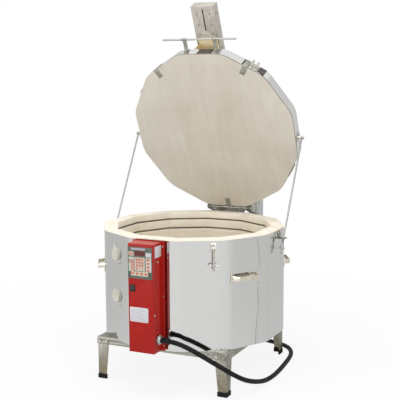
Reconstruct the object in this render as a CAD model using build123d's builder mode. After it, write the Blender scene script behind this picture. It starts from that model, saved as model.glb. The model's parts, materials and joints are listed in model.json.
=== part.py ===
from build123d import *
import os
from math import acos, asin, atan2, cos, degrees, hypot, pi, radians, sin, tan

os.makedirs("parts", exist_ok=True)

# A top-loading ceramic kiln, lid open. Millimetres, +Z up. The origin is on the floor
# under the middle of the body, the front faces -Y and the lid is hinged at the back.

# Body
sides = 12
brick_side = 228.6          # a nine-inch brick makes one side of the body
brick_cement = 2.0          # with its share of the cemented joints
wall = 63.5                 # brick wall
row_height = 114.3          # one row of bricks
rows = 4
brick_joint = 0.4
sheet = 1.0                 # stainless jacket
corner_bend = 130.0         # the jacket and the bricks in it are rounded at each corner
rim_stand = 5.0             # the bricks stand this far above the jacket
slab = 48.0                 # floor slab
pan = 1.5                   # steel plate under the slab
stand_height = 203.0
half_turn = pi / sides
apothem = (brick_side + brick_cement) / 2 / tan(half_turn)
brick_out = apothem - sheet
brick_in = brick_out - wall
slab_base = stand_height + pan
rows_base = slab_base + slab
rim = rows_base + rows * row_height
jacket_top = rim - rim_stand

# Element grooves in every row
groove_tall = 9.0
groove_deep = 13.0
groove_drop = 34.5          # upper groove below the top of its row
groove_pitch = 48.0
coil_dia = 8.0
tail_dia = 6.0
tail_side = -20.0           # the tails leave the front flat here
tail_reach = 30.0           # and end this far outside the jacket
jog_side = 20.0

# Stand
frame_x = 335.0
frame_y = 365.0
rail = 33.0
rail_thick = 3.0
leg_top = 58.0
leg_foot = 41.0
leg_lift = 5.0              # steel ends above the floor, inside the rubber foot
foot_tall = 22.0
foot_wall = 2.5
stand_bolt = 8.0
bolt_slack = 0.2

# Lid
lid_thick = 63.5
lid_gap = 0.5
lid_angle = 65.86
hinge_y = apothem + 20.4
hinge_z = rim + 20.7
hinge_rod_dia = 10.0
running = 0.05              # radial clearance of a turning fit
band_low = 4.0
band_tall = 59.0
lid_under = rim + lid_gap
lid_top = lid_under + lid_thick

# Rear masts with the counterbalance springs
mast_x = 110.0
mast_wide = 57.0
mast_deep = 60.0
mast_wall = 2.0
mast_slot = 21.0
mast_front = apothem + 89.4
mast_foot = stand_height + 32.0
mast_head = rim + 90.3
lever_reach = 108.0         # from the hinge to the spring pin
lever_thick = 6.0
seat_z = rim - 109.7
spring_open = 330.0
spring_dia = 32.0
spring_wire = 4.0
pull_rod_dia = 10.0
washer_dia = 34.0
washer_thick = 5.0
spring_clear = 0.3

# Support rods beside the lid
rod_dia = 8.0
rod_out = 24.0
rod_pin_y = 24.0
rod_pin_z = rim + 25.3
guide_y = 30.0
guide_z = rim - 42.7
rod_length = 596.0

# Boom over the lid
boom_half = 59.5
boom_wall = 2.0
boom_low = lid_top + 60.0
boom_high = boom_low + 53.0
boom_front = -apothem - 195.4
boom_back = hinge_y + 53.0
cover_end = -apothem - 35.4

# Control box
box_middle = -9.0
box_half = 63.0
box_out = 90.0
box_wall = 1.5
box_low = stand_height + 7.0
box_high = rim - 9.7
plate_out = 12.0
plate_half = 79.0
plate_low = box_low - 4.0
plate_high = box_high + 4.0

# Cord
cord_dia = 22.0
cord_lay = cord_dia / 2
gland_out = 52.4
gland_z = box_low + 57.3


def flat(azimuth, out=0.0):
    """Plane on a side of the body: x along it, y up, z outwards. Azimuth from the front."""
    a = radians(azimuth)
    normal = Vector(sin(a), -cos(a), 0)
    return Plane(origin=normal * (apothem + out), x_dir=(cos(a), sin(a), 0), z_dir=normal)


def shelf(azimuth, height):
    """Horizontal plane at a side of the body: x along it, y outwards, z down."""
    a = radians(azimuth)
    origin = Vector(sin(a) * apothem, -cos(a) * apothem, height)
    return Plane(origin=origin, x_dir=(cos(a), sin(a), 0), z_dir=(0, 0, -1))


def profile(x):
    """Vertical plane across the kiln at x: its x runs back (+Y) and its y runs up."""
    return Plane(origin=(x, 0, 0), x_dir=(0, 1, 0), z_dir=(1, 0, 0))


# The lid's pieces are drawn closed and saved turned open about the hinge.
opened = Location((0, hinge_y, hinge_z)) * Rot(-lid_angle, 0, 0) * Location((0, -hinge_y, -hinge_z))


def save(piece, name, place=Location()):
    solid = place * piece.part
    solid.label = name
    export_step(solid, "parts/" + name + ".step")


def dodecagon(across, mode=Mode.ADD, bend=0.0):
    """Twelve-sided outline with rounded corners, or sharp ones where bend is 0."""
    outline = RegularPolygon(across, sides, major_radius=False, rotation=180 / sides,
                             mode=Mode.PRIVATE).face()
    if bend:
        outline = outline.fillet_2d(bend, outline.vertices())
    add(outline, mode=mode)


def jacket_outline():
    dodecagon(apothem, bend=corner_bend)
    dodecagon(brick_out, Mode.SUBTRACT, corner_bend - sheet)


# Screws and holes that several pieces share: azimuth, along the side, height, seat height

peephole_z = (rim - 97.5, rim - 295.0)
peephole_side = -30
ring_out = 33.0
ring_in = 20.0
ring_thick = 2.0
ring_ear = (-26.0, 39.0)    # one screw ear up on the left, its twin down on the right
ring_ear_wide = 15.0
handle_sides = (-60, 60, -120, 120)
handle_z = rim - 180.7
handle_tall = 20.0
handle_out = 34.0
handle_half = 66.0
handle_shift = 18.0         # off the middle of the side, towards the front
handle_strap = 3.0
foot_wide = 16.0
foot_high = 50.0
latch_side = 30
latch_along = 53.0
latch_z = rim - 33.7
seam_side = 60
seam_along = 71.0
seam_wide = 16.0
seam_thick = 0.8
flange_wide = 54.0
flange_thick = 3.0
flange_edge = 109.5         # outer edge of the mast brackets, from the middle
bracket_plate = 2.5
guide_wide = 40.0
guide_high = 40.0
mast_tube_wide = 26.0
mast_tube_tall = 40.0
mast_tube_z = (stand_height + 97.0, rim - 69.7)


def handle_middle(side):
    return -handle_shift if side > 0 else handle_shift


screws = []
for z in peephole_z:
    for end in (1, -1):
        screws.append((peephole_side, end * ring_ear[0], z + end * ring_ear[1], ring_thick))
for side in handle_sides:
    for foot in (-handle_half - foot_wide / 2 + 4, handle_half + foot_wide / 2 - 4):
        for dz in (-18.0, 18.0):
            screws.append((side, handle_middle(side) + foot, handle_z + dz, bracket_plate))
for dz in (-13.5, 13.5):
    screws.append((latch_side, latch_along, latch_z + dz, bracket_plate))
for along in (-flange_edge + flange_wide - 10, flange_edge - flange_wide + 10):
    for z in mast_tube_z:
        for dz in (-18.0, 18.0):
            screws.append((180, along, z + dz, flange_thick))
for side in (-90, 90):
    for along in (-13.0, 13.0):
        middle = guide_y if side > 0 else -guide_y
        screws.append((side, middle + along, guide_z + 28.0, bracket_plate))
screw_hole = 2.2
screw_shank = 2.0
screw_head = 4.5
screw_head_tall = 2.6


def screw_holes(chosen, depth):
    """Cut the clearance holes of the listed screws, from outside the jacket inwards."""
    for side, along, z, seat in chosen:
        with BuildSketch(flat(side, seat + 1)) as hole:
            with Locations((along, z)):
                Circle(screw_hole)
        extrude(hole.sketch, amount=-(seat + 1 + depth), mode=Mode.SUBTRACT)


def screws_on(*chosen_sides):
    return [s for s in screws if s[0] in chosen_sides]


# Stand: four angle-iron rails, four tapered legs, rubber feet and bolts

rail_z = stand_height - rail
leg_face_x = frame_x - rail_thick
leg_face_y = frame_y - rail_thick
bolt_z = stand_height - 19.0
bolt_in_front = (15.0, 51.0)    # bolts from the corner, on the front and rear
bolt_in_side = (24.0, 52.0)


def bolt_places(start):
    """Planes at every bolt, facing inwards, that start this far outside the rails."""
    places = []
    for hand_x in (-1, 1):
        for hand_y in (-1, 1):
            for inset in bolt_in_front:
                places.append(Plane(origin=(hand_x * (frame_x - inset), hand_y * (frame_y + start), bolt_z),
                                    x_dir=(1, 0, 0), z_dir=(0, -hand_y, 0)))
            for inset in bolt_in_side:
                places.append(Plane(origin=(hand_x * (frame_x + start), hand_y * (frame_y - inset), bolt_z),
                                    x_dir=(0, 1, 0), z_dir=(-hand_x, 0, 0)))
    return places


def bolt_holes(depth):
    for place in bolt_places(1):
        with BuildSketch(place) as hole:
            Circle(stand_bolt / 2 + bolt_slack)
        extrude(hole.sketch, amount=depth + 1, mode=Mode.SUBTRACT)


with BuildPart() as stand_rails:
    for low, tall, width in ((rail_z, rail, rail_thick), (stand_height - rail_thick, rail_thick, rail)):
        with BuildSketch(Plane.XY.offset(low)):
            Rectangle(2 * frame_x, 2 * frame_y)
            Rectangle(2 * (frame_x - width), 2 * (frame_y - width), mode=Mode.SUBTRACT)
        extrude(amount=tall)
    for hand_x in (-1, 1):
        for hand_y in (-1, 1):
            with BuildSketch(Plane.XY.offset(rail_z)):
                with Locations((hand_x * (frame_x - rail / 2), hand_y * (frame_y - rail / 2))):
                    Rectangle(60, brick_joint, rotation=45 * hand_x * hand_y)
            extrude(amount=rail, mode=Mode.SUBTRACT)
    bolt_holes(rail_thick + 1)
save(stand_rails, "stand_rails")

with BuildPart() as stand_legs:
    with BuildSketch(Plane(origin=(0, -leg_face_y, 0), x_dir=(1, 0, 0), z_dir=(0, -1, 0))):
        with BuildLine():
            Polyline((leg_face_x, leg_lift), (leg_face_x, stand_height - rail_thick),
                     (leg_face_x - leg_top, stand_height - rail_thick),
                     (leg_face_x - leg_top, rail_z), (leg_face_x - leg_foot, leg_lift), close=True)
        make_face()
    extrude(amount=-rail_thick)
    with BuildSketch(Plane(origin=(leg_face_x, 0, 0), x_dir=(0, 1, 0), z_dir=(1, 0, 0))):
        with BuildLine():
            Polyline((-leg_face_y, leg_lift), (-leg_face_y, stand_height - rail_thick),
                     (-leg_face_y + leg_top, stand_height - rail_thick),
                     (-leg_face_y + leg_top, rail_z), (-leg_face_y + leg_foot, leg_lift), close=True)
        make_face()
    extrude(amount=-rail_thick)
    mirror(about=Plane.YZ)
    mirror(about=Plane.XZ)
    bolt_holes(3 * rail_thick)
save(stand_legs, "stand_legs")

foot_span = leg_foot + 2 * foot_wall + 2
with BuildPart() as rubber_feet:
    with BuildSketch():
        corner = (leg_face_x + foot_wall, -leg_face_y - foot_wall)
        with BuildLine():
            Polyline(corner, (corner[0] - foot_span, corner[1]),
                     (corner[0] - foot_span, corner[1] + rail_thick + 2 * foot_wall),
                     (corner[0] - rail_thick - 2 * foot_wall, corner[1] + rail_thick + 2 * foot_wall),
                     (corner[0] - rail_thick - 2 * foot_wall, corner[1] + foot_span),
                     (corner[0], corner[1] + foot_span), close=True)
        make_face()
    extrude(amount=foot_tall)
    with BuildSketch(Plane.XY.offset(leg_lift)):
        with BuildLine():
            Polyline((leg_face_x, -leg_face_y), (leg_face_x - foot_span + 2 * foot_wall, -leg_face_y),
                     (leg_face_x - foot_span + 2 * foot_wall, -leg_face_y + rail_thick),
                     (leg_face_x - rail_thick, -leg_face_y + rail_thick),
                     (leg_face_x - rail_thick, -leg_face_y + foot_span - 2 * foot_wall),
                     (leg_face_x, -leg_face_y + foot_span - 2 * foot_wall), close=True)
        make_face()
    extrude(amount=foot_tall, mode=Mode.SUBTRACT)
    mirror(about=Plane.YZ)
    mirror(about=Plane.XZ)
save(rubber_feet, "rubber_feet")

bolt_head = 5.3
bolt_grip = 2 * rail_thick
bolt_nut = 6.5
with BuildPart() as stand_bolts:
    for place in bolt_places(0):
        with BuildSketch(place):
            Circle(stand_bolt / 2)
        extrude(amount=bolt_grip)
        for start, tall in ((-bolt_head, bolt_head), (bolt_grip, bolt_nut)):
            with BuildSketch(place.offset(start)):
                RegularPolygon(6.5, 6, major_radius=False)
            extrude(amount=tall)
save(stand_bolts, "stand_bolts")

# Base plate, floor slab and brick rows

with BuildPart() as base_plate:
    with BuildSketch(Plane.XY.offset(stand_height)):
        dodecagon(brick_out, bend=corner_bend - sheet)
    extrude(amount=pan)
save(base_plate, "base_plate")

with BuildPart() as floor_slab:
    with BuildSketch(Plane.XY.offset(slab_base)):
        dodecagon(brick_out, bend=corner_bend - sheet)
    extrude(amount=slab)
save(floor_slab, "floor_slab")


def groove_heights(row):
    top = rows_base + (row + 1) * row_height
    return (top - groove_drop, top - groove_drop - groove_pitch)


probe_z = rows_base + 1.5 * row_height
probe_dia = 8.0
probe_reach = 40.0          # into the chamber
plug_stem = 13.0
plug_tip = 9.0
plug_slack = 0.6


def brick_row(row):
    """Twelve bricks with two element grooves, and the holes that this row holds."""
    base = rows_base + row * row_height
    with BuildPart() as bricks:
        with BuildSketch(Plane.XY.offset(base)):
            dodecagon(brick_out, bend=corner_bend - sheet)
            dodecagon(brick_in, Mode.SUBTRACT)
            with PolarLocations((brick_in + brick_out) / 2 / cos(half_turn), sides, 180 / sides):
                Rectangle(1.3 * wall, brick_joint, mode=Mode.SUBTRACT)
        extrude(amount=row_height)
        for z in groove_heights(row):
            with BuildSketch(Plane.XY.offset(z - groove_tall / 2)):
                dodecagon(brick_in + groove_deep)
                dodecagon(brick_in - 1, Mode.SUBTRACT)
            extrude(amount=groove_tall, mode=Mode.SUBTRACT)
            with BuildSketch(flat(0, 1)):
                with Locations((tail_side, z - (groove_tall - coil_dia) / 2)):
                    Circle(tail_dia / 2 + 0.5)
            extrude(amount=-(wall + sheet + 2), mode=Mode.SUBTRACT)
        low, high = sorted(groove_heights(row))
        with BuildSketch(flat(0, -sheet - wall + groove_deep)):
            with Locations((jog_side, (low + high) / 2)):
                Rectangle(groove_tall, high - low)
        extrude(amount=-groove_deep - 1, mode=Mode.SUBTRACT)
        for z in peephole_z:
            if base < z < base + row_height:
                with BuildSketch(flat(peephole_side)):
                    with Locations((0, z)):
                        Circle(plug_stem + plug_slack)
                with BuildSketch(flat(peephole_side, -sheet - wall - 1)):
                    with Locations((0, z)):
                        Circle(plug_tip + plug_slack)
                loft(mode=Mode.SUBTRACT)
        if base < probe_z < base + row_height:
            with BuildSketch(flat(0)):
                with Locations((0, probe_z)):
                    Circle(probe_dia / 2 + 0.5)
            extrude(amount=-(wall + sheet + 2), mode=Mode.SUBTRACT)
    return bricks


for row in range(rows):
    save(brick_row(row), "brick_row_" + str(row + 1))

# Heating elements: each runs round its upper groove, drops and comes back round the lower one

coil_in = brick_in + groove_deep - coil_dia / 2 - 1.5
corner_radius = coil_in / cos(half_turn)


def ring_corners(z):
    """Corners of the coil's path, from just right of the front middle round to the left."""
    turns = [2 * pi * k / sides + half_turn for k in range(sides)]
    return [(corner_radius * sin(t), -corner_radius * cos(t), z) for t in turns]


with BuildPart() as heating_elements:
    for row in range(rows):
        high, low = [z - (groove_tall - coil_dia) / 2 for z in groove_heights(row)]
        front = -coil_in
        end = tail_side + tail_dia / 2
        path = [(end, front, high)] + ring_corners(high)[::-1]
        path += [(jog_side, front, high), (jog_side, front, low)]
        path += ring_corners(low) + [(end, front, low)]
        with BuildLine():
            run = FilletPolyline(*path, radius=coil_dia * 0.6)
        with BuildSketch(Plane(origin=run @ 0, z_dir=run % 0)):
            Circle(coil_dia / 2)
        sweep(path=run)
        for z in (high, low):
            with BuildSketch(Plane(origin=(tail_side, front, z), x_dir=(1, 0, 0), z_dir=(0, -1, 0))):
                Circle(tail_dia / 2)
            extrude(amount=apothem + tail_reach - coil_in)
save(heating_elements, "heating_elements")

with BuildPart() as thermocouple:
    with BuildSketch(flat(0, -sheet - wall - probe_reach)):
        with Locations((0, probe_z)):
            Circle(probe_dia / 2)
    extrude(amount=sheet + wall + probe_reach + plate_out + box_wall)
    with BuildSketch(flat(0, plate_out + box_wall)):
        with Locations((0, probe_z)):
            SlotOverall(34, 18)
    extrude(amount=14)
save(thermocouple, "thermocouple")

# Jacket and what is screwed to it

with BuildPart() as jacket:
    with BuildSketch(Plane.XY.offset(stand_height)):
        jacket_outline()
    extrude(amount=jacket_top - stand_height)
    for row in range(rows):
        for z in groove_heights(row):
            with BuildSketch(flat(0, 1)):
                with Locations((tail_side, z)):
                    Circle(tail_dia / 2 + 1)
            extrude(amount=-sheet - 2, mode=Mode.SUBTRACT)
    with BuildSketch(flat(0, 1)):
        with Locations((0, probe_z)):
            Circle(probe_dia / 2 + 1)
    extrude(amount=-sheet - 2, mode=Mode.SUBTRACT)
    for z in peephole_z:
        with BuildSketch(flat(peephole_side, 1)):
            with Locations((0, z)):
                Circle(ring_in)
        extrude(amount=-sheet - 2, mode=Mode.SUBTRACT)
    screw_holes(screws, sheet)
save(jacket, "jacket")

with BuildPart() as jacket_seam:
    with BuildSketch(flat(seam_side)):
        with Locations((seam_along, (stand_height + jacket_top) / 2)):
            Rectangle(seam_wide, jacket_top - stand_height - 2)
    extrude(amount=seam_thick)
    with BuildSketch(flat(seam_side)):
        with Locations((handle_middle(seam_side) + handle_half - 4 + foot_wide / 2, handle_z)):
            Rectangle(foot_wide + 4, foot_high + 1)
    extrude(amount=seam_thick, mode=Mode.SUBTRACT)
save(jacket_seam, "jacket_seam")

with BuildPart() as jacket_screws:
    for side, along, z, seat in screws:
        with BuildSketch(flat(side, seat)):
            with Locations((along, z)):
                Circle(screw_head)
        extrude(amount=screw_head_tall, taper=18)
        with BuildSketch(flat(side, seat)):
            with Locations((along, z)):
                Circle(screw_shank)
        extrude(amount=-seat - sheet)
save(jacket_screws, "jacket_screws")

with BuildPart() as peephole_rings:
    for z in peephole_z:
        with BuildSketch(flat(peephole_side)):
            with Locations((0, z)):
                Circle(ring_out)
                SlotCenterToCenter(2 * hypot(*ring_ear), ring_ear_wide,
                                   rotation=degrees(atan2(ring_ear[1], ring_ear[0])))
                Circle(ring_in, mode=Mode.SUBTRACT)
        extrude(amount=ring_thick)
    screw_holes(screws_on(peephole_side), 0)
save(peephole_rings, "peephole_rings")

plug_shank = 18.5
plug_head = 30.0
plug_head_tall = 9.0
plug_seat = 0.15            # air between a plug's head and its ring
for name, z in zip(("peephole_plug_upper", "peephole_plug_lower"), peephole_z):
    with BuildPart() as plug_body:
        with BuildSketch(flat(peephole_side, -sheet + plug_slack / 2)):
            with Locations((0, z)):
                Circle(plug_shank)
        extrude(amount=sheet + ring_thick + plug_seat)
        with BuildSketch(flat(peephole_side, ring_thick + plug_seat)):
            with Locations((0, z)):
                Circle(plug_head)
        extrude(amount=plug_head_tall)
        rim_edges = plug_body.edges().filter_by(GeomType.CIRCLE).filter_by(
            lambda e: abs(e.radius - plug_head) < 0.1).sort_by_distance(
            flat(peephole_side, 200).from_local_coords((0, z, 0)))[0]
        fillet(rim_edges, 3)
        with BuildSketch(flat(peephole_side, -sheet + plug_slack / 2)):
            with Locations((0, z)):
                Circle(plug_stem - 0.1)
        with BuildSketch(flat(peephole_side, -sheet - wall + 4)):
            with Locations((0, z)):
                Circle(plug_tip)
        loft()
    save(plug_body, name)

# Four lifting handles of bent strap

with BuildPart() as lift_handles:
    for side in handle_sides:
        mid = handle_middle(side)
        with BuildSketch(shelf(side, handle_z + handle_tall / 2)):
            with BuildLine():
                FilletPolyline((mid - handle_half, 0), (mid - handle_half + 10, handle_out),
                               (mid + handle_half - 10, handle_out), (mid + handle_half, 0), radius=9)
                Line((mid + handle_half, 0), (mid - handle_half, 0))
            make_face()
            with BuildLine():
                inner = handle_out - handle_strap
                lean = handle_half - handle_strap - 0.4
                FilletPolyline((mid - lean, 0), (mid - lean + 9, inner), (mid + lean - 9, inner),
                               (mid + lean, 0), radius=6)
                Line((mid + lean, 0), (mid - lean, 0))
            make_face(mode=Mode.SUBTRACT)
        extrude(amount=handle_tall)
        with BuildSketch(flat(side)):
            with Locations((mid - handle_half - foot_wide / 2 + 4, handle_z),
                           (mid + handle_half + foot_wide / 2 - 4, handle_z)):
                RectangleRounded(foot_wide, foot_high, 3)
        extrude(amount=bracket_plate)
    screw_holes([s for s in screws if s[0] in handle_sides and s[3] == bracket_plate], 0)
save(lift_handles, "lift_handles")

# Latch on the front right side: a hanging swing bolt with a wing nut

latch_out = 24.5            # room for the wings to turn beside the jacket
latch_bolt = 9.0
latch_pin = 6.0
latch_ear = 3.0
latch_gap = 9.6
latch_length = 103.0
latch_nut_at = 80.0
wing_reach = 21.0
with BuildPart() as latch_bracket:
    with BuildSketch(flat(latch_side)):
        with Locations((latch_along, latch_z)):
            RectangleRounded(26, 40, 4)
    extrude(amount=bracket_plate)
    with BuildSketch(shelf(latch_side, latch_z + 9)):
        ear_long = latch_out + 8
        with Locations((latch_along - latch_gap / 2 - latch_ear / 2, ear_long / 2),
                       (latch_along + latch_gap / 2 + latch_ear / 2, ear_long / 2)):
            Rectangle(latch_ear, ear_long)
    extrude(amount=18)
    screw_holes([s for s in screws if s[0] == latch_side], 0)
    ear_plane = Plane(origin=flat(latch_side).from_local_coords((latch_along - 12, latch_z, latch_out)),
                      z_dir=flat(latch_side).x_dir)
    with BuildSketch(ear_plane):
        Circle(latch_pin / 2)
    extrude(amount=24)
save(latch_bracket, "latch_bracket")

latch_axis = Plane(origin=flat(latch_side).from_local_coords((latch_along, latch_z, latch_out)),
                   x_dir=flat(latch_side).x_dir, z_dir=(0, 0, -1))
eye_wide = 9.2
eye_start = flat(latch_side).from_local_coords((latch_along - eye_wide / 2, latch_z, latch_out))
eye_plane = Plane(origin=eye_start, z_dir=flat(latch_side).x_dir)
with BuildPart() as swing_bolt:
    with BuildSketch(latch_axis):
        Circle(latch_bolt / 2)
    extrude(amount=latch_length)
    with BuildSketch(eye_plane):
        Circle(8)
    extrude(amount=eye_wide)
    with BuildSketch(eye_plane):
        Circle(latch_pin / 2 + running)
    extrude(amount=eye_wide, mode=Mode.SUBTRACT)
save(swing_bolt, "swing_bolt")

with BuildPart() as wing_nut:
    with BuildSketch(latch_axis.offset(latch_nut_at - 7)):
        Circle(9)
    extrude(amount=13, taper=12)
    for hand in (-1, 1):
        with BuildSketch(Plane(origin=latch_axis.from_local_coords((0, -1.8, 0)),
                               x_dir=latch_axis.x_dir, z_dir=latch_axis.y_dir)):
            with BuildLine():
                Polyline((hand * 5, -latch_nut_at + 4), (hand * 16, -latch_nut_at - 1),
                         (hand * wing_reach, -latch_nut_at - 8), (hand * wing_reach, -latch_nut_at + 2),
                         (hand * 13, -latch_nut_at + 6.5), (hand * 5, -latch_nut_at + 6.5), close=True)
            make_face()
        extrude(amount=3.6)
    with BuildSketch(latch_axis.offset(latch_nut_at - 10)):
        Circle(latch_bolt / 2 + running)
    extrude(amount=30, mode=Mode.SUBTRACT)
save(wing_nut, "wing_nut")

# Slotted guides for the lid's support rods, on the left and right sides

guide_slot = 18.0
with BuildPart() as rod_guides:
    for side in (-90, 90):
        along = guide_y if side > 0 else -guide_y
        with BuildSketch(flat(side)):
            with Locations((along, guide_z + 17)):
                RectangleRounded(guide_wide, guide_high - 2, 3)
        extrude(amount=bracket_plate)
        with BuildSketch(shelf(side, guide_z + 1.5)):
            with Locations((along, (rod_out + 12) / 2)):
                Rectangle(guide_wide, rod_out + 12)
            with Locations((along, rod_out)):
                SlotOverall(guide_slot, rod_dia + 1, mode=Mode.SUBTRACT)
        extrude(amount=3)
        screw_holes(screws_on(side), 0)
save(rod_guides, "rod_guides")

# Rear masts, their brackets and the hinge

pin_half = lid_angle / 2
pin_near = hinge_y + lever_reach * cos(radians(pin_half))
pin_far = hinge_y + lever_reach
pin_open_z = hinge_z - lever_reach * sin(radians(pin_half))
pin_closed_z = hinge_z + lever_reach * sin(radians(pin_half))
seat_thick = 3.0

with BuildPart() as masts:
    with BuildSketch(Plane.XY.offset(mast_foot)):
        with Locations((mast_x, mast_front + mast_deep / 2)):
            Rectangle(mast_wide, mast_deep)
            Rectangle(mast_wide - 2 * mast_wall, mast_deep - 2 * mast_wall, mode=Mode.SUBTRACT)
        with Locations((mast_x, mast_front + mast_wall / 2)):
            Rectangle(mast_slot, mast_wall, mode=Mode.SUBTRACT)
    extrude(amount=mast_head - mast_foot)
    with BuildSketch(Plane.XY.offset(seat_z - seat_thick)):
        with Locations((mast_x, mast_front + mast_deep / 2)):
            Rectangle(mast_wide - 2 * mast_wall, mast_deep - 2 * mast_wall)
        with Locations((mast_x, (pin_near + pin_far) / 2)):
            SlotOverall(pin_far - pin_near + pull_rod_dia + 4, pull_rod_dia + 2, rotation=90,
                        mode=Mode.SUBTRACT)
    extrude(amount=seat_thick)
    mirror(about=Plane.YZ)
save(masts, "masts")

ear_gap = 22.0
ear_thick = 4.0
with BuildPart() as mast_brackets:
    for z in mast_tube_z:
        with BuildSketch(Plane(origin=(0, apothem, 0), x_dir=(1, 0, 0), z_dir=(0, 1, 0))):
            with Locations((flange_edge - flange_wide / 2, -z)):
                Rectangle(flange_wide, mast_tube_tall + 14)
        extrude(amount=flange_thick)
        with BuildSketch(Plane(origin=(0, apothem, 0), x_dir=(1, 0, 0), z_dir=(0, 1, 0))):
            with Locations((flange_edge - mast_tube_wide / 2, -z)):
                Rectangle(mast_tube_wide, mast_tube_tall)
                Rectangle(mast_tube_wide - 4, mast_tube_tall - 4, mode=Mode.SUBTRACT)
        extrude(amount=mast_front - apothem)
    for x in (mast_x - ear_gap / 2 - ear_thick, mast_x + ear_gap / 2):
        with BuildSketch(profile(x)):
            with BuildLine():
                Polyline((mast_front, hinge_z - 42), (mast_front, hinge_z + 32), (hinge_y, hinge_z + 15),
                         (hinge_y, hinge_z - 15), close=True)
            make_face()
            with Locations((hinge_y, hinge_z)):
                Circle(15)
                Circle(hinge_rod_dia / 2 + running, mode=Mode.SUBTRACT)
        extrude(amount=ear_thick)
    mirror(about=Plane.YZ)
    screw_holes(screws_on(180), 0)
save(mast_brackets, "mast_brackets")

hinge_half = mast_x + ear_gap / 2 + ear_thick
with BuildPart() as hinge_rod:
    with BuildSketch(profile(-hinge_half)):
        with Locations((hinge_y, hinge_z)):
            Circle(hinge_rod_dia / 2)
    extrude(amount=2 * hinge_half)
    for x in (-hinge_half - 6, hinge_half):
        with BuildSketch(profile(x)):
            with Locations((hinge_y, hinge_z)):
                RegularPolygon(8, 6, major_radius=False)
        extrude(amount=6)
save(hinge_rod, "hinge_rod")

# Pull rods and counterbalance springs inside the masts

washer_z = seat_z - seat_thick - spring_open - washer_thick
clevis_cheek = 3.5
clevis_gap = lever_thick + 1.0
block_top = pin_open_z - 24
for name, x in (("left", -mast_x), ("right", mast_x)):
    with BuildPart() as pull_rod:
        for x0 in (x - clevis_gap / 2 - clevis_cheek, x + clevis_gap / 2):
            with BuildSketch(profile(x0)):
                with Locations((pin_near, pin_open_z)):
                    Circle(11)
                with Locations((pin_near, (pin_open_z + block_top) / 2)):
                    Rectangle(16, pin_open_z - block_top + 0.02)
            extrude(amount=clevis_cheek)
        with BuildSketch(Plane.XY.offset(block_top - 12)):
            with Locations((x, pin_near)):
                Rectangle(clevis_gap + 2 * clevis_cheek, 16)
        extrude(amount=12)
        with BuildSketch(Plane.XY.offset(washer_z)):
            with Locations((x, pin_near)):
                Circle(pull_rod_dia / 2)
        extrude(amount=block_top - 11 - washer_z)
        with BuildSketch(Plane.XY.offset(washer_z)):
            with Locations((x, pin_near)):
                Circle(washer_dia / 2)
        extrude(amount=washer_thick)
        with BuildSketch(Plane.XY.offset(washer_z - 8)):
            with Locations((x, pin_near)):
                RegularPolygon(8.5, 6, major_radius=False)
        extrude(amount=8)
        with BuildSketch(profile(x - 12)):
            with Locations((pin_near, pin_open_z)):
                Circle(4)
        extrude(amount=24)
    save(pull_rod, "pull_rod_" + name)
    with BuildPart() as lid_spring:
        with BuildSketch(Plane.XY.offset(washer_z + washer_thick + spring_clear)):
            with Locations((x, pin_near)):
                Circle(spring_dia / 2)
                Circle(spring_dia / 2 - spring_wire, mode=Mode.SUBTRACT)
        extrude(amount=spring_open - 2 * spring_clear)
    save(lid_spring, "lid_spring_" + name)

# Lid: brick slab, steel band and retaining clips

clips = ((-30, -45.0), (30, 16.0), (180, -5.0))
clip_wide = 26.0
clip_thick = 2.0
clip_reach = 45.0
band_plates = ((-60, 17.0, 28.0), (120, 0.0, 50.0))
band_plate_thick = 4.0

with BuildPart() as lid_slab:
    with BuildSketch(Plane.XY.offset(lid_under)):
        dodecagon(brick_out, bend=corner_bend - sheet)
    extrude(amount=lid_thick)
    for side, along in clips:
        with BuildSketch(shelf(side, lid_under + clip_thick)):
            with Locations((along, -sheet - clip_reach / 2)):
                Rectangle(clip_wide + 1, clip_reach + 2)
        extrude(amount=clip_thick + 1, mode=Mode.SUBTRACT)
save(lid_slab, "lid_slab", opened)

with BuildPart() as lid_band:
    with BuildSketch(Plane.XY.offset(lid_under + band_low)):
        jacket_outline()
    extrude(amount=band_tall)
save(lid_band, "lid_band", opened)

with BuildPart() as lid_clips:
    for side, along in clips:
        with BuildSketch(flat(side)):
            with Locations((along, lid_under + band_low + band_tall / 2 - band_low / 2)):
                Rectangle(clip_wide, band_tall + band_low)
        extrude(amount=clip_thick)
        with BuildSketch(shelf(side, lid_under + clip_thick)):
            with Locations((along, (clip_thick - sheet - clip_reach) / 2)):
                Rectangle(clip_wide, clip_thick + sheet + clip_reach)
        extrude(amount=clip_thick)
    for side, along, long in band_plates:
        with BuildSketch(flat(side)):
            with Locations((along, lid_under + band_low + band_tall / 2)):
                RectangleRounded(long, band_tall, 3)
        extrude(amount=band_plate_thick)
save(lid_clips, "lid_clips", opened)

# Front handle bar and its two hooked brackets

bar_dia = 9.5
bar_half = 194.0
bar_out = 64.0
bar_z = lid_under + 29.0
bar_bracket_x = 80.0
bar_bracket_wide = 20.0
bar_bracket_thick = 3.0
bar_y = -apothem - bar_out

with BuildPart() as handle_bar:
    with BuildSketch(profile(-bar_half)):
        with Locations((bar_y, bar_z)):
            Circle(bar_dia / 2)
    extrude(amount=2 * bar_half)
    fillet(handle_bar.edges().filter_by(GeomType.CIRCLE), 1.5)
save(handle_bar, "handle_bar", opened)

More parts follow.
